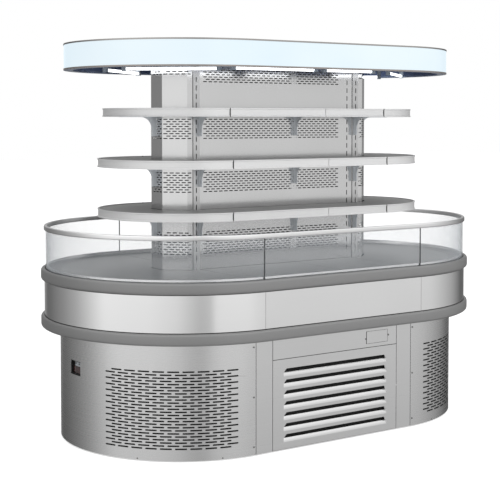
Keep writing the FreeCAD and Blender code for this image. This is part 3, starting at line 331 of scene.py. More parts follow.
# ---------------------------------------------------------------- service panels, posts and headers
# Flat stainless panels on the two long sides: fixed posts, a header with the small access flap, whose
# hinge is riveted on, and the lift-off panel with its pressed louvres and the filter mat behind them.
# Zinc-plated screws hold the skirts along their seams and at their foot.
panel_steel = brushed_steel("panel_steel", 0.7, 0.3, 0.03)
wear(["skirt_posts", "header_front", "header_back", "access_flap"], panel_steel)
panel_half, panel_low, panel_top, panel_sheet, panel_return = 0.4058, 0.008, 0.463, 0.0015, 0.026
louvres, louvre_pitch, louvre_half, louvre_corner = 7, 0.0555, 0.339, 0.018
mouth_top, mouth_height, lip_height, lip_depth = 0.4150, 0.0390, 0.0185, 0.0100


def side_plane(side, face_y):
    """Puts u along X and a height on a long face. side is -1 at the front."""
    def place(u, v, depth):
        return -side * u, side * (face_y - depth), v
    return place


def pressed_lip(low, place):
    """One louvre: a lip that leans in from the sheet, and a slanting web at both ends of its mouth."""
    corners, faces, rows, flare = [], [], 8, 0.45
    for depth in (0.0, panel_sheet):
        for row in range(rows + 1):
            share = row / rows
            lean = lip_depth * (flare * share + (1 - flare) * share * share) + depth
            for u in (-louvre_half + 0.3 * lean, louvre_half - 0.3 * lean):
                corners.append(place(u, low + lip_height * share, lean))
    inside = 2 * (rows + 1)
    for row in range(rows):
        a, b = 2 * row, 2 * row + 1
        faces += [(a, b, b + 2, a + 2), (inside + a, inside + a + 2, inside + b + 2, inside + b),
                  (a, a + 2, inside + a + 2, inside + a), (b, inside + b, inside + b + 2, b + 2)]
    crest = 2 * rows
    faces.append((crest, crest + 1, inside + crest + 1, inside + crest))
    for edge, sign in ((0, -1), (1, 1)):
        shoulder, head = len(corners), len(corners) + 1
        corners += [place(sign * louvre_half, low + mouth_height / 2, 0.0),
                    place(sign * (louvre_half - louvre_corner), low + mouth_height, 0.0)]
        for row in range(rows):
            faces.append((2 * row + edge, 2 * row + 2 + edge, shoulder))
        faces.append((crest + edge, head, shoulder))
    return corners, faces


def slab(corners):
    """Closes two matching rings of four corners into a flat piece."""
    return corners, [(0, 1, 2, 3), (4, 5, 6, 7), (0, 1, 5, 4), (1, 2, 6, 5), (2, 3, 7, 6), (3, 0, 4, 7)]


mat_back, mat_half, mat_low, mat_high = 0.6405, 0.345, 0.030, 0.440
for side, face in ((-1, "front"), (1, "back")):
    place = side_plane(side, skirt_radius)
    mouths = [mouth_top - number * louvre_pitch for number in range(louvres)]
    windows = [(-louvre_half, louvre_half, top - mouth_height, top, louvre_corner, 0.0) for top in mouths]
    sheet = pierced_sheet((-panel_half, panel_half), (panel_low, panel_top), windows, place, panel_sheet, 0.1)
    lips = [pressed_lip(top - mouth_height, place) for top in mouths]
    returns = []
    for sign in (-1, 1):
        corners = [place(sign * (panel_half - inset), z, depth) for inset in (0.0, panel_sheet)
                   for z, depth in ((panel_low, 0.0), (panel_top, 0.0),
                                    (panel_top, panel_return), (panel_low, panel_return))]
        corners, faces = slab(corners)
        del faces[2]
        returns.append((corners, faces))
    weld("louvre_panel_" + face, [sheet] + lips + returns, [panel_steel, inside_shade], ["louver_panel_" + face],
         body=face + "_service_panel")
    corners = [(x, side * (mat_back + depth), z) for depth in (0.0, mat_sheet)
               for x, z in ((-mat_half, mat_low), (mat_half, mat_low), (mat_half, mat_high), (-mat_half, mat_high))]
    weld("filter_mat_" + face, [slab(corners)], [filter_foam], body=face + "_service_panel")
screw_zinc = zinc_plate("screw_zinc", 0.22)
wear(["panel_screws", "flap_pin"], screw_zinc)
# black_trim_and_shade: the black of the seals and joints, and of the painted shade lines and the flap's notch.
black_trim_and_shade = Finish("black_trim_and_shade", {"Metallic": 0.0, "Roughness": 0.6})
scuff = black_trim_and_shade.noise(40.0)
black_trim_and_shade.set({"Base Color": black_trim_and_shade.blend(scuff, shade(0.006), shade(0.014))})


def stud(place, u, v, radius, rise, sunk=0.001):
    """A low domed head that stands on a face at u, v, its foot sunk into the sheet."""
    rings = ((radius, sunk), (radius, -0.4 * rise), (0.75 * radius, -0.85 * rise), (0.35 * radius, -rise))
    count = 12
    corners = [place(u + reach * math.cos(math.tau * n / count), v + reach * math.sin(math.tau * n / count), depth)
               for reach, depth in rings for n in range(count)]
    faces = [(ring * count + n, ring * count + (n + 1) % count, (ring + 1) * count + (n + 1) % count,
              (ring + 1) * count + n) for ring in range(len(rings) - 1) for n in range(count)]
    last = (len(rings) - 1) * count
    return corners, faces + [tuple(range(count)), tuple(range(last, last + count))]


foot_screw_z, screw_radius, head_rise = 0.0125, 0.004, 0.0016
foot_screws = [stud(round_end(end, skirt_radius), u, foot_screw_z, screw_radius, head_rise)
               for end in (-1, 1) for u in (-0.860, -0.4365, 0.4365, 0.860)]
weld("foot_screws", foot_screws, [screw_zinc], smooth=60.0)
front = side_plane(-1, skirt_radius)
rivet_x, rivet_z, rivet_radius = 0.3504, 0.519, 0.0050
weld("hinge_rivet", [stud(front, rivet_x, rivet_z, rivet_radius, head_rise)], [screw_zinc], smooth=60.0)
# A small black dome on the flap is painted shade that stands for its finger notch.
notch_x, notch_z, notch_radius, notch_rise = 0.1935, 0.511, 0.0040, 0.0006
weld("flap_notch_shade", [stud(front, notch_x, notch_z, notch_radius, notch_rise, 0.0005)], [black_trim_and_shade])


# ---------------------------------------------------------------- switches and controller
# Moulded black switch box with two rockers, and the controller's black case with a pale patch round its
# buttons, a tinted window and a small red warning lamp.
def moulded(name, level, roughness=0.38, warmth=0.0):
    """Moulded plastic with a fine spark-eroded texture."""
    finish = Finish(name, {"Metallic": 0.0})
    texture = finish.noise(1500.0, 2.0)
    finish.set({
        "Base Color": finish.blend(texture, shade(level * 0.9, warmth), shade(level * 1.1, warmth)),
        "Roughness": roughness + 0.12 * texture,
        "Normal": finish.bump(texture, 0.15, 0.0002),
    })
    return finish


black_plastic = moulded("black_plastic", 0.012)
wear(["switch_box"], black_plastic)
case_plastic = moulded("case_plastic", 0.008)
# A pale grey patch is painted on the black case round its buttons.
case_x = case_plastic.node("ShaderNodeSeparateXYZ", {}, {0: case_plastic.place()}, "X")
case_y, case_z = (Signal(case_plastic, case_x.socket.node.outputs[axis]) for axis in "YZ")
pale_patch_edges = ((case_x, -1.1575, -1.1555), (case_y, -0.0605, 0.0120), (case_z, 0.4140, 0.4385))
pale_patch = 1.0
for where, near, far in pale_patch_edges:
    pale_patch = pale_patch * (where.maths("GREATER_THAN", where, near) * where.maths("LESS_THAN", where, far))
case_plastic.set({"Base Color": case_plastic.blend(pale_patch, shade(0.008), shade(0.42, -0.06))})
wear(["controller_case"], case_plastic)
rocker_plastic = moulded("rocker_plastic", 0.012, 0.25)
wear(["main_switch", "light_switch", "down_button", "up_button"], rocker_plastic)
lens = Finish("lens", {"Metallic": 0.0, "Roughness": 0.08, "Coat Weight": 1.0})
lens_smear = lens.noise(60.0)
lens.set({"Base Color": lens.blend(lens_smear, (0.022, 0.006, 0.006, 1.0), (0.05, 0.010, 0.010, 1.0))})
wear(["controller_lens"], lens)
warning_red = Finish("warning_red", {"Metallic": 0.0, "Roughness": 0.3})
red_haze = warning_red.noise(80.0)
warning_red.set({"Base Color": warning_red.blend(red_haze, (0.45, 0.02, 0.02, 1.0), (0.60, 0.03, 0.03, 1.0))})
lens_face, lamp_y, lamp_z, lamp_radius, lamp_rise = -1.159, -0.052, 0.388, 0.0036, 0.0015


def controller_face(u, v, depth):
    """Puts u along Y and a height on the front of the controller's tinted window."""
    return lens_face + depth, u, v


weld("warning_lamp", [stud(controller_face, lamp_y, lamp_z, lamp_radius, lamp_rise)], [warning_red], smooth=60.0)


# ---------------------------------------------------------------- machine bay
# The condensing unit on the pan: painted compressor, finned coil with its zinc shroud and fan, copper
# lines, a drip tray and a grey electrical box.
compressor_paint = powder_coat("compressor_paint", 0.02, 0.35)
wear(["compressor"], compressor_paint)
fin = Finish("fin_aluminium", {"Metallic": 1.0})
# The wave bands draw the fins: light fin edges, and dark bands between them that are painted shade in the gaps.
fins = fin.node("ShaderNodeTexWave", {"bands_direction": "X"}, {"Vector": fin.place(), "Scale": 160.0})
fin.set({"Base Color": fin.blend(fins, shade(0.16), shade(0.62)), "Roughness": 0.35 + 0.1 * fins,
         "Normal": fin.bump(fins, 0.6, 0.001)})
wear(["condenser_coil", "evaporator_coil"], fin)
# The shroud, fan plenum and drip tray are zinc dimmed to a dark level, which is painted shade of the closed bay.
shaded_shroud_zinc = zinc_plate("shaded_shroud_zinc", 0.22)
wear(["condenser_shroud", "evap_fan_plenum", "condensate_pan"], shaded_shroud_zinc)
fan_plastic = moulded("fan_plastic", 0.03)
wear(["condenser_fan", "condenser_motor", "evap_fan_left", "evap_fan_right"], fan_plastic)
copper = Finish("copper", {"Metallic": 1.0})
tarnish = copper.noise(18.0, 3.0)
copper.set({"Base Color": copper.blend(tarnish, (0.36, 0.16, 0.09, 1.0), (0.62, 0.31, 0.19, 1.0)),
            "Roughness": 0.25 + 0.25 * tarnish})
wear(["refrigerant_pipes"], copper)
box_paint = powder_coat("box_paint", 0.4)
wear(["control_box"], box_paint)


# ---------------------------------------------------------------- well and bumpers
# The foamed well carries two deep bumpers, mouldings in metallic grey vinyl bent round the cabinet, whose
# outer edges are generously rounded.
well_low, deck_seat = 0.583, 0.873
bumper_height, bumper_inner, bumper_outer, bumper_ease = 0.058, 0.7396, 0.764, 0.0125
belt_low, belt_top = 0.641, 0.828


def round_corners(corners, radii, steps=5):
    """Rounds the corners of an outline of (radius, height) points, each by its own radius."""
    outline = []
    count = len(corners)
    for number, (corner, radius) in enumerate(zip(corners, radii)):
        here = np.array(corner)
        before = np.array(corners[number - 1]) - here
        after = np.array(corners[(number + 1) % count]) - here
        if radius == 0:
            outline.append(corner)
            continue
        before, after = before / np.linalg.norm(before), after / np.linalg.norm(after)
        half = math.acos(np.clip(before @ after, -1, 1)) / 2
        middle = (before + after) / np.linalg.norm(before + after)
        centre = here + middle * radius / math.sin(half)
        start = here + before * radius / math.tan(half) - centre
        finish = here + after * radius / math.tan(half) - centre
        for step in range(steps + 1):
            share = step / steps
            turn = math.pi - 2 * half
            point = (start * math.sin((1 - share) * turn) + finish * math.sin(share * turn)) / math.sin(turn)
            outline.append(tuple(centre + point))
    return outline


def plan_run(part="whole", trim=0.0, steps=60):
    """Stations of (centre along X, direction in degrees) along the island's plan or one part of it."""
    arc = np.linspace(-90, 90, steps + 1)
    right = [(half_straight, angle) for angle in arc]
    right[0], right[-1] = (half_straight + trim, -90), (half_straight + trim, 90)
    left = [(-centre, angle + 180) for centre, angle in right]
    front = [(-half_straight + trim, -90), (half_straight - trim, -90)]
    back = [(half_straight - trim, 90), (-half_straight + trim, 90)]
    return {"whole": right + left, "right": right, "left": left, "front": front, "back": back}[part]


def swept(outline, run, closed=False):
    """Carries a closed outline of (radius, height) points along stations of the plan."""
    corners = []
    for centre, angle in run:
        cosine, sine = math.cos(math.radians(angle)), math.sin(math.radians(angle))
        corners += [(centre + radius * cosine, radius * sine, height) for radius, height in outline]
    size, count = len(outline), len(run)
    faces = []
    for station in range(count if closed else count - 1):
        here, there = station * size, (station + 1) % count * size
        for point in range(size):
            following = (point + 1) % size
            faces.append((here + point, there + point, there + following, here + following))
    if not closed:
        faces += [tuple(range(size)), tuple(range((count - 1) * size, count * size))[::-1]]
    return corners, faces


def four_lengths(outline, trim):
    """The same section as two bent ends and two straight sides, with open seams between."""
    return [swept(outline, plan_run(part, trim)) for part in ("right", "left", "front", "back")]


foam = powder_coat("well_skin", 0.55, 0.45)
wear(["insulated_well"], foam)
vinyl = moulded("bumper_vinyl", 0.265, 0.34)
vinyl.set({"Metallic": 0.42})
for name, low, node in (("bumper_lower", well_low, "lower_bumper"), ("bumper_upper", belt_top, "upper_bumper")):
    top = low + bumper_height
    section = round_corners([(bumper_inner, low), (bumper_outer, low), (bumper_outer, top), (bumper_inner, top)],
                            [0, bumper_ease, bumper_ease, 0])
    weld(name, [swept(section, plan_run(), True)], [vinyl], [node])


# ---------------------------------------------------------------- belt
# Polished stainless between the bumpers, rolled at the ends and flat along the sides, with a thin black
# bead along both edges that is painted shade in the grooves at the bumpers.
belt_radius, belt_sheet, panel_seam = 0.746, 0.002, 0.0015
belt_steel = brushed_steel("belt_steel", 0.76, 0.16, 0.02, 0.03)
section = [(belt_radius - belt_sheet, belt_low), (belt_radius, belt_low), (belt_radius, belt_top),
           (belt_radius - belt_sheet, belt_top)]
weld("belt", four_lengths(section, panel_seam / 2), [belt_steel], ["belt_panels"])
# The black beads are painted shadow: they stand for the shade in the grooves between the belt and the bumpers.
shadow_bead_inner, shadow_bead_outer, shadow_bead_height = belt_radius - 0.001, belt_radius + 0.0014, 0.0035
shadow_beads = [swept([(shadow_bead_inner, low), (shadow_bead_outer, low), (shadow_bead_outer, low + shadow_bead_height),
                (shadow_bead_inner, low + shadow_bead_height)], plan_run(), True) for low in (belt_low, belt_top - shadow_bead_height)]
weld("belt_shadow_beads", shadow_beads, [black_trim_and_shade])


# ---------------------------------------------------------------- ledge and glass guard
# Bent and flat panes stand between the upper bumper and a bright ledge, with black seals between them
# and at their foot, and a folded aluminium rail caps them.
ledge_steel = brushed_steel("ledge_steel", 0.8, 0.2, 0.02, 0.02)
ledge_inner, ledge_outer, ledge_top, ledge_ease = 0.722, 0.7325, 0.898, 0.004
section = round_corners([(ledge_inner, deck_seat), (ledge_outer, deck_seat), (ledge_outer, ledge_top),
                         (ledge_inner, ledge_top)], [0, 0, 0.001, ledge_ease], 3)
weld("ledge", [swept(section, plan_run(), True)], [ledge_steel], ["rim_ledge"])

glass = Finish("guard_glass", {"Metallic": 0.0, "Roughness": 0.02})
# The pale colour laid over the glass, faint face-on and thicker towards grazing angles, is a painted reflection.
edge_on = glass.node("ShaderNodeLayerWeight", {}, {"Blend": 0.25}, "Facing")
film = glass.noise(3.0)
glass.set({"Base Color": glass.blend(film, (0.62, 0.66, 0.70, 1.0), (0.70, 0.74, 0.78, 1.0)),
           "Alpha": 0.10 + 0.8 * edge_on * edge_on + 0.02 * film})
glass_outer, glass_sheet, glass_top = 0.739, 0.006, 1.086
section = [(glass_outer - glass_sheet, deck_seat), (glass_outer, deck_seat), (glass_outer, glass_top),
           (glass_outer - glass_sheet, glass_top)]
weld("panes_bent", [swept(section, plan_run(part, panel_seam / 2)) for part in ("right", "left")], [glass],
     ["glass_ends"])
weld("panes_flat", [swept(section, plan_run(part, panel_seam / 2)) for part in ("front", "back")], [glass],
     ["glass_sides"])

seal_low, seal_top, seal_inner, seal_outer, seal_half = 0.885, 0.8872, glass_outer + 0.0002, 0.7440, 0.0016
seals = [swept([(seal_inner, seal_low), (seal_outer, seal_low), (seal_outer - 0.0005, seal_top),
                (seal_inner, seal_top)], plan_run(), True)]
for x in (-half_straight, half_straight):
    for side in (-1, 1):
        seals.append(slab([(x + across, side * (glass_outer - depth), z) for depth in (0.0, glass_sheet)
                           for across, z in ((-seal_half, deck_seat), (seal_half, deck_seat),
                                             (seal_half, glass_top), (-seal_half, glass_top))]))
weld("glass_seals", seals, [black_trim_and_shade])

rail_inner, rail_outer, rail_top = 0.729, 0.748, 1.110
rail_paint = brushed_steel("rail_aluminium", 0.84, 0.3, 0.02, 0.03)
section = round_corners([(rail_inner, glass_top), (rail_outer, glass_top), (rail_outer, rail_top),
                         (rail_inner, rail_top)], [0.003, 0.004, 0.006, 0.006], 4)
weld("guard_rail", [swept(section, plan_run(), True)], [rail_paint], ["glass_rail"])


# ---------------------------------------------------------------- deck
# Stainless pans lie on the deck's edge, with a finely pierced strip round the rim that takes the cold
# air back.
deck_steel = brushed_steel("deck_steel", 0.4, 0.35, 0.03, 0.04, (260.0, 3.0, 3.0))
wear(["deck_pans"], deck_steel)
grille_steel = brushed_steel("grille_steel", 0.4, 0.35, 0.03, 0.04, (260.0, 3.0, 3.0))
grille_x = grille_steel.node("ShaderNodeSeparateXYZ", {}, {0: grille_steel.place()}, "X")
grille_y = Signal(grille_steel, grille_x.socket.node.outputs["Y"])
holes_per_metre, hole_size, row_start = 0.7071 / 0.0125, 0.1, 400.0
first, second = (grille_x.maths("FRACT", diagonal * holes_per_metre + row_start, 0.0) - 0.5
                 for diagonal in (grille_x + grille_y, grille_x - grille_y))
# The holes are drawn as near-black, non-metallic dots: painted shade seen through the pierced strip.
hole_shade = grille_x.maths("LESS_THAN", first * first + second * second, hole_size)
strip_tone = grille_steel.blend(grille_steel.noise(2.3), shade(0.37), shade(0.43))
grille_steel.set({"Base Color": grille_steel.blend(hole_shade, strip_tone, shade(0.006)), "Metallic": 1.0 - hole_shade})
wear(["return_grille"], grille_steel)


# ---------------------------------------------------------------- column
# A hollow column of polished sheet on painted posts, with black sheets inside as painted shade in the duct. The
# long sides have four bands of air slots and rows of hook slots, and one folded, slotted sheet goes round each end.
# Slotted uprights at the corners, and hidden behind the middle, carry the shelf brackets.
column_depth, column_sheet = 0.152, 0.002
column_low, column_top = 0.873, 1.960
upright_x, upright_half, middle_x = 0.534, 0.020, 0.102
bands = ((0.956, 1.081), (1.282, 1.383), (1.562, 1.663), (1.859, 1.931))
band_left, band_right = -0.4895, 0.440
air_slot, air_pitch, air_height, air_row_pitch, air_ease = 0.0240, 0.0326, 0.0052, 0.0125, 0.0018
hook_starts, hook_width, hook_height = (0.006, 0.054), 0.004, 0.028
shelf_tiers = ((0.466, 1.171), (0.466, 1.434), (0.4375, 1.698))
spare_x, spare_width, spare_height, spare_top, spare_pitch, spare_count = 0.477, 0.0055, 0.026, 1.885, 0.0445, 22
wear(["column_frame"], frame_paint)
column_steel = brushed_steel("column_steel", 0.62, 0.14, 0.02, 0.05, (240.0, 3.0, 3.0))


def hook_row(u):
    """The slots that the brackets of one upright line hook into."""
    return [(u - hook_width / 2, u + hook_width / 2, top - start - hook_height, top - start, 0.0, 0.0)
            for _, top in shelf_tiers for start in hook_starts]


def spare_row(u):
    """The even row of taller slots for moving shelves."""
    return [(u - spare_width / 2, u + spare_width / 2, spare_top - number * spare_pitch - spare_height,
             spare_top - number * spare_pitch, 0.0, 0.0) for number in range(spare_count)]


def band_slots(start, finish, taken=(), picked=bands):
    """Staggered rows of short slots between two places along a sheet, clear of those already taken."""
    count = int((finish - start - air_slot) // air_pitch) + 1
    slots = []
    for low, high in picked:
        for row in range(int((high - low) // air_row_pitch) + 1):
            v0 = low + row * air_row_pitch
            for number in range(count - row % 2):
                u0 = start + number * air_pitch + (row % 2) * air_pitch / 2
                blocked = (a < u0 + air_slot and u0 < b and c < v0 + air_height and v0 < d
                           for a, b, c, d, *_ in taken)
                if not any(blocked):
                    slots.append((u0, u0 + air_slot, v0, v0 + air_height, air_ease, air_ease))
    return slots


panel_limit = upright_x - upright_half - 0.0005
hooks = hook_row(middle_x)
windows = hooks + band_slots(band_left, band_right, hooks) + spare_row(spare_x)
weld("column_faces", [pierced_sheet((-panel_limit, panel_limit), (column_low, column_top), windows,
                                    side_plane(side, column_depth), column_sheet, 0.2) for side in (-1, 1)],
     [column_steel, inside_shade], ["column_side_panels"])

end_start, end_shoulder, end_tip, end_tip_half, end_fold = 0.5545, 0.588, 0.683, 0.057, 0.024
fold_pull = math.tan(math.radians(22.5))
end_corners = np.array([(end_start, end_fold - column_depth), (end_start, -column_depth),
                        (end_shoulder, -column_depth), (end_tip, -end_tip_half), (end_tip, end_tip_half),
                        (end_shoulder, column_depth), (end_start, column_depth),
                        (end_start, column_depth - end_fold)])
end_inward = np.array([(1, 0), (1, 1), (-fold_pull, 1), (-1, fold_pull),
                       (-1, -fold_pull), (-fold_pull, -1), (1, -1), (1, 0)])
end_knots = np.concatenate([[0], np.cumsum(np.linalg.norm(np.diff(end_corners, axis=0), axis=1))])


def folded_end(end):
    """Puts u, the distance along the folded sheet, and a height on the column's end. +1 is the right."""
    def place(u, v, depth):
        bent = end_corners + depth * end_inward
        return end * np.interp(u, end_knots, bent[:, 0]), np.interp(u, end_knots, bent[:, 1]), v
    return place


end_bands = bands[:3] + ((1.897, 1.931),)
windows = []
for start, finish in ((end_knots[1] + 0.008, end_knots[3] - 0.004), (end_knots[3] + 0.004, end_knots[4] - 0.004),
                      (end_knots[4] + 0.004, end_knots[6] - 0.008)):
    windows += band_slots(start, finish, picked=end_bands)
weld("column_ends", [pierced_sheet(end_knots, (column_low, column_top), windows, folded_end(end), column_sheet, 0.2)
                     for end in (-1, 1)],
     [column_steel, inside_shade], ["column_end_panels"])

standard_half, standard_depth, standard_low, standard_top = 0.0195, 0.006, 0.876, 1.929
# Black sheets inside the column are painted shade: they stand where the duct would only be dark.
shade_sheet_depth, end_shade_sheet_gap = 0.104, 0.030
shade_sheets = [pierced_sheet((-panel_limit, panel_limit), (standard_low, standard_top), [],
                        side_plane(side, shade_sheet_depth), column_sheet, 0.3) for side in (-1, 1)]
for end in (-1, 1):
    around = folded_end(end)
    shade_sheets.append(pierced_sheet((end_knots[2] - 0.015, *end_knots[2:6], end_knots[5] + 0.015),
                                (standard_low, standard_top), [],
                                lambda u, v, depth: around(u, v, depth + end_shade_sheet_gap), column_sheet, 0.3))
weld("duct_shade_sheets", shade_sheets, [inside_shade, inside_shade])

hook_x, corner_row_x = 0.520, 0.536
standard_steel = brushed_steel("standard_steel", 0.6, 0.28, 0.03, 0.03, (240.0, 3.0, 3.0))
uprights = []
for side in (-1, 1):
    for end in (-1, 1):
        uprights.append(pierced_sheet((end * upright_x - standard_half, end * upright_x + standard_half),
                                      (standard_low, standard_top),
                                      hook_row(end * hook_x) + spare_row(end * corner_row_x),
                                      side_plane(side, column_depth + standard_depth),
                                      standard_depth + column_sheet, 0.2))
    uprights.append(pierced_sheet((middle_x - standard_half, middle_x + standard_half),
                                  (standard_low, standard_top), hooks,
                                  side_plane(side, column_depth - column_sheet), standard_depth, 0.2))
weld("uprights", uprights, [standard_steel, inside_shade], ["shelf_standards"])


# ---------------------------------------------------------------- shelves
# Three tiers of painted steel shelves on thin plate brackets, edged with a pale price-strip rail whose
# two lips stand proud of its face and whose round ends meet the straight runs at black joints.
shelf_paint = powder_coat("shelf_paint", 0.3, 0.35)
wear(["lower_shelves", "middle_shelves", "upper_shelves"], shelf_paint)
bracket_paint = powder_coat("bracket_paint", 0.86, 0.3, -0.05)
bracket_paint.set({"Metallic": 0.55})
wear(["shelf_brackets"], bracket_paint)
end_brackets = []
bracket_sheet, arm_drop, root_drop, bracket_neck, fillet, tip_gap = 0.003, 0.022, 0.122, 0.030, 0.062, 0.040
for radius, top in shelf_tiers:
    wall, tip, arm_low = end_tip, half_straight + radius - tip_gap, top - arm_drop
    outline = [(wall, top), (tip, top), (tip, arm_low)]
    outline += [(wall + bracket_neck + fillet - fillet * math.sin(turn), arm_low - fillet * (1 - math.cos(turn)))
                for turn in np.linspace(0, math.pi / 2, 9)]
    outline += [(wall + bracket_neck, top - root_drop), (wall, top - root_drop)]
    count = len(outline)
    rim = [(n, (n + 1) % count, (n + 1) % count + count, n + count) for n in range(count)]
    for end in (-1, 1):
        corners = [(end * x, y, z) for y in (-bracket_sheet / 2, bracket_sheet / 2) for x, z in outline]
        end_brackets.append((corners, [tuple(range(count)), tuple(range(count, 2 * count))] + rim))
weld("end_brackets", end_brackets, [bracket_paint])
strip = moulded("strip_white", 0.78, 0.28)
strip.set({"Metallic": 0.3})
strip_depth, strip_height, strip_rise, strip_lip, lip_rise = 0.008, 0.044, 0.024, 0.0055, 0.003
middle_seam, shelf_seam, end_seam, joint_setback = 0.102, 0.003, 0.006, 0.0015
strips, joints = [], []
for radius, shelf_top in shelf_tiers:
    top = shelf_top + strip_rise
    low, inner, face = top - strip_height, radius - strip_depth, radius - lip_rise
    section = [(inner, low), (radius, low), (radius, low + strip_lip), (face, low + 1.4 * strip_lip),
               (face, top - 1.4 * strip_lip), (radius, top - strip_lip), (radius, top), (inner, top)]
    ends = [swept(section, plan_run(part, end_seam / 2)) for part in ("right", "left")]
    for side, angle in ((-1, -90), (1, 90)):
        for x0, x1 in ((-half_straight, middle_seam), (middle_seam, half_straight)):
            gaps = [(end_seam if abs(x) == half_straight else shelf_seam) / 2 for x in (x0, x1)]
            run = [(-side * (x0 + gaps[0]), angle), (-side * (x1 - gaps[1]), angle)]
            ends.append(swept(section, run))
    strips += ends
    for x in (-half_straight, half_straight):
        for side in (-1, 1):
            joints.append(slab([(x + across, side * (radius - depth), z) for depth in (joint_setback, strip_depth)
                                for across, z in ((-end_seam / 2, low), (end_seam / 2, low),
                                                  (end_seam / 2, top), (-end_seam / 2, top))]))
weld("price_strips", strips, [strip], ["ticket_rails"])
weld("strip_joints", joints, [black_trim_and_shade])


# ---------------------------------------------------------------- canopy
# A tray with a recessed polished ceiling, translucent lit panels round its edge, grey trims and tube
# lamps under it.
tray_steel = Finish("tray_steel", {"Metallic": 0.6, "Roughness": 0.3})
tray_x = tray_steel.node("ShaderNodeSeparateXYZ", {}, {0: tray_steel.place()}, "X")
tray_y, tray_z = (Signal(tray_steel, tray_x.socket.node.outputs[axis]) for axis in "YZ")
past_end = tray_x.maths("MAXIMUM", tray_x.maths("ABSOLUTE", tray_x, 0.0) - half_straight, 0.0)
trim_radius, recess_edge = 0.6385, 1.9305
on_trim = tray_x.maths("GREATER_THAN", past_end * past_end + tray_y * tray_y, trim_radius ** 2)
recess_shade = tray_x.maths("GREATER_THAN", tray_z, recess_edge)
mottle = tray_steel.noise(5.0)
# The underside's blue is a painted reflection of the lamps' bluish glow, and the darker navy of the ceiling inside
# the recess is painted shade. The trim keeps its own beige grey.
underside_glow_and_shade = tray_steel.blend(recess_shade, (0.24, 0.31, 0.46, 1.0), (0.11, 0.16, 0.31, 1.0))
underside_glow_and_shade = tray_steel.blend(mottle * 0.3, underside_glow_and_shade, shade(0.3))
tray_steel.set({"Base Color": tray_steel.blend(on_trim, underside_glow_and_shade, (0.34, 0.31, 0.29, 1.0))})
wear(["canopy_tray"], tray_steel)
lid_steel = brushed_steel("lid_steel", 0.4, 0.3, 0.02, 0.03, (240.0, 3.0, 3.0), 0.03)
wear(["canopy_lid"], lid_steel)
fascia = Finish("fascia_acrylic", {"Metallic": 0.0, "Roughness": 0.25, "Emission Strength": 0.85})
glow = fascia.noise(1.6)
fascia.set({"Base Color": fascia.blend(glow, (0.11, 0.12, 0.13, 1.0), (0.13, 0.14, 0.15, 1.0)),
            "Emission Color": fascia.blend(glow, (0.70, 0.86, 0.97, 1.0), (0.88, 0.97, 1.0, 1.0))})
wear(["fascia"], fascia)
lamp = Finish("lamp_glass", {"Metallic": 0.0, "Roughness": 0.3, "Emission Strength": 2.5})
lamp_haze = lamp.noise(12.0)
lamp.set({"Base Color": lamp.blend(lamp_haze, shade(0.86), shade(0.94)),
          "Emission Color": lamp.blend(lamp_haze, (0.95, 0.98, 1.0, 1.0), (1.0, 1.0, 1.0, 1.0))})
wear(["lamp_tubes"], lamp)
holder_plastic = moulded("holder_plastic", 0.42, 0.38, -0.12)
wear(["lamp_holders"], holder_plastic)


# ---------------------------------------------------------------- floor, light and camera
# A plain pale studio: white floor that keeps the shadow, soft light from a bright surround, and the
# photograph's viewpoint.
floor_mesh = bpy.data.meshes.new("floor")
floor_mesh.from_pydata([(-40, -40, 0), (40, -40, 0), (40, 40, 0), (-40, 40, 0)], [], [(0, 1, 2, 3)])
floor = bpy.data.objects.new("floor", floor_mesh)
bpy.context.scene.collection.objects.link(floor)
floor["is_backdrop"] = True
floor_white = Finish("floor_white", {"Base Color": shade(0.82), "Roughness": 0.9, "Emission Strength": 0.6})
seen = floor_white.node("ShaderNodeLightPath", {}, {}, "Is Camera Ray")
mirrored, through = (Signal(floor_white, seen.socket.node.outputs[f"Is {kind} Ray"])
                     for kind in ("Glossy", "Transmission"))
floor_x = floor_white.node("ShaderNodeSeparateXYZ", {}, {0: floor_white.place()}, "X")
floor_y = Signal(floor_white, floor_x.socket.node.outputs["Y"])
past_end = floor_x.maths("MAXIMUM", floor_x.maths("ABSOLUTE", floor_x, 0.0) - half_straight, 0.0)
# Under the cabinet's footprint the floor neither glows nor lets glossy rays through. This is a painted shadow under
# the cabinet.
outside_painted_shadow = floor_x.maths("GREATER_THAN", past_end * past_end + floor_y * floor_y, (skirt_radius - 0.02) ** 2)
floor_white.set({"Emission Color": floor_white.blend((seen + through) * outside_painted_shadow, shade(0.0), shade(1.0))})
painted = Signal(floor_white, floor_white.shader.outputs[0])
clear = floor_white.node("ShaderNodeBsdfTransparent", {}, {})
either = floor_white.node("ShaderNodeMixShader", {}, {0: mirrored * outside_painted_shadow, 1: painted, 2: clear})
floor_white.feed(floor_white.tree.nodes["Material Output"].inputs["Surface"], either)
floor_mesh.materials.append(floor_white.material)

studio = Finish("studio", {}, bpy.data.worlds, "Background")
bpy.context.scene.world = studio.material
way = studio.node("ShaderNodeTexCoord", {}, {}, "Generated")
along = studio.node("ShaderNodeSeparateXYZ", {}, {0: way}, "X")
across, up = (Signal(studio, along.socket.node.outputs[axis]) for axis in "YZ")
bearing = studio.node("ShaderNodeMath", {"operation": "ARCTAN2"}, {0: across, 1: along})
walls = ((-180, 1.12), (-151, 1.1), (-128, 0.96), (-110, 0.64), (-101, 0.7), (-98, 1.04), (-70, 1.04),
         (-55, 0.88), (-35, 0.82), (-4, 0.46), (18, 0.14), (30, 0.14), (45, 0.38), (76, 0.38), (88, 0.15),
         (100, 0.18), (124, 0.33), (141, 0.5), (153, 0.72), (171, 1.12), (180, 1.12))
wall = studio.node("ShaderNodeValToRGB", {"stops": [(0.5 + angle / 360, shade(level)) for angle, level in walls]},
                   {0: bearing * (1 / math.tau) + 0.5})
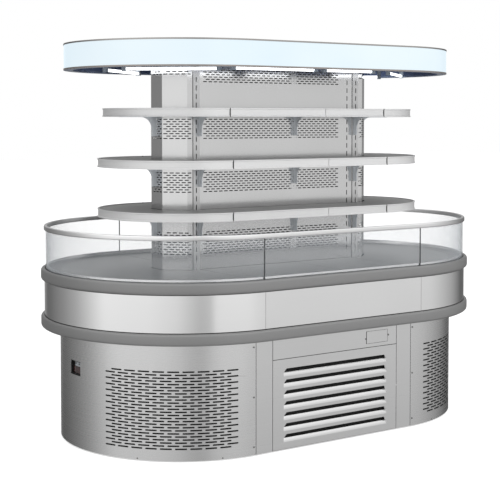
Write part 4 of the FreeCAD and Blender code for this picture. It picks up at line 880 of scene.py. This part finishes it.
heights = ((-1.0, 0.55), (-0.5, 0.52), (-0.26, 0.56), (-0.2, 0.78), (-0.16, 0.97), (0.0, 1.0), (0.3, 1.0),
           (0.7, 1.45), (1.0, 1.2))
height = studio.node("ShaderNodeValToRGB", {"stops": [(0.5 + z / 2, shade(level)) for z, level in heights]},
                     {0: up * 0.5 + 0.5})
overhead = studio.node("ShaderNodeMapRange", {"interpolation_type": "SMOOTHSTEP"},
                       {"Value": up, "From Min": 0.35, "From Max": 0.85})
room = studio.blend(overhead, wall, shade(1.0))
room = studio.node("ShaderNodeMix", {"data_type": "RGBA", "blend_type": "MULTIPLY"},
                   {0: 1.0, 6: room, 7: height}, 2)
seen = studio.node("ShaderNodeLightPath", {}, {}, "Is Camera Ray")
through, mirrored = (Signal(studio, seen.socket.node.outputs[f"Is {kind} Ray"])
                     for kind in ("Transmission", "Glossy"))
studio.set({"Color": studio.blend(seen + through, studio.blend(mirrored, shade(0.76), room), shade(1.0))})


def soft_lamp(name, place, target, size, power):
    light = bpy.data.lights.new(name, "AREA")
    light.shape, light.size, light.energy = "SQUARE", size, power
    holder = bpy.data.objects.new(name, light)
    bpy.context.scene.collection.objects.link(holder)
    way = np.array(target) - np.array(place)
    holder.location = place
    holder.visible_glossy = False
    from_above = math.atan2(math.hypot(way[0], way[1]), -way[2])
    holder.rotation_euler = (from_above, 0, math.atan2(way[1], way[0]) - math.pi / 2)


soft_lamp("key", (0.5, -6.0, 4.0), (0, 0, 1.0), 3.0, 120)

camera_data = bpy.data.cameras.new("camera")
camera_data.lens, camera_data.sensor_width, camera_data.shift_y = 88.253, 36.0, -0.15
camera = bpy.data.objects.new("camera", camera_data)
bpy.context.scene.collection.objects.link(camera)
camera.location = (-3.93428, -5.58551, 1.66341)
camera.rotation_euler = (math.radians(90 - 2.5921), 0, math.radians(-34.5582))
camera_data.clip_end = 200
bpy.context.scene.camera = camera
bpy.context.scene.view_settings.view_transform = "Standard"

low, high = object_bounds()
{"cad": [list(corner) for corner in cad_box], "visual": [list(low), list(high)]}
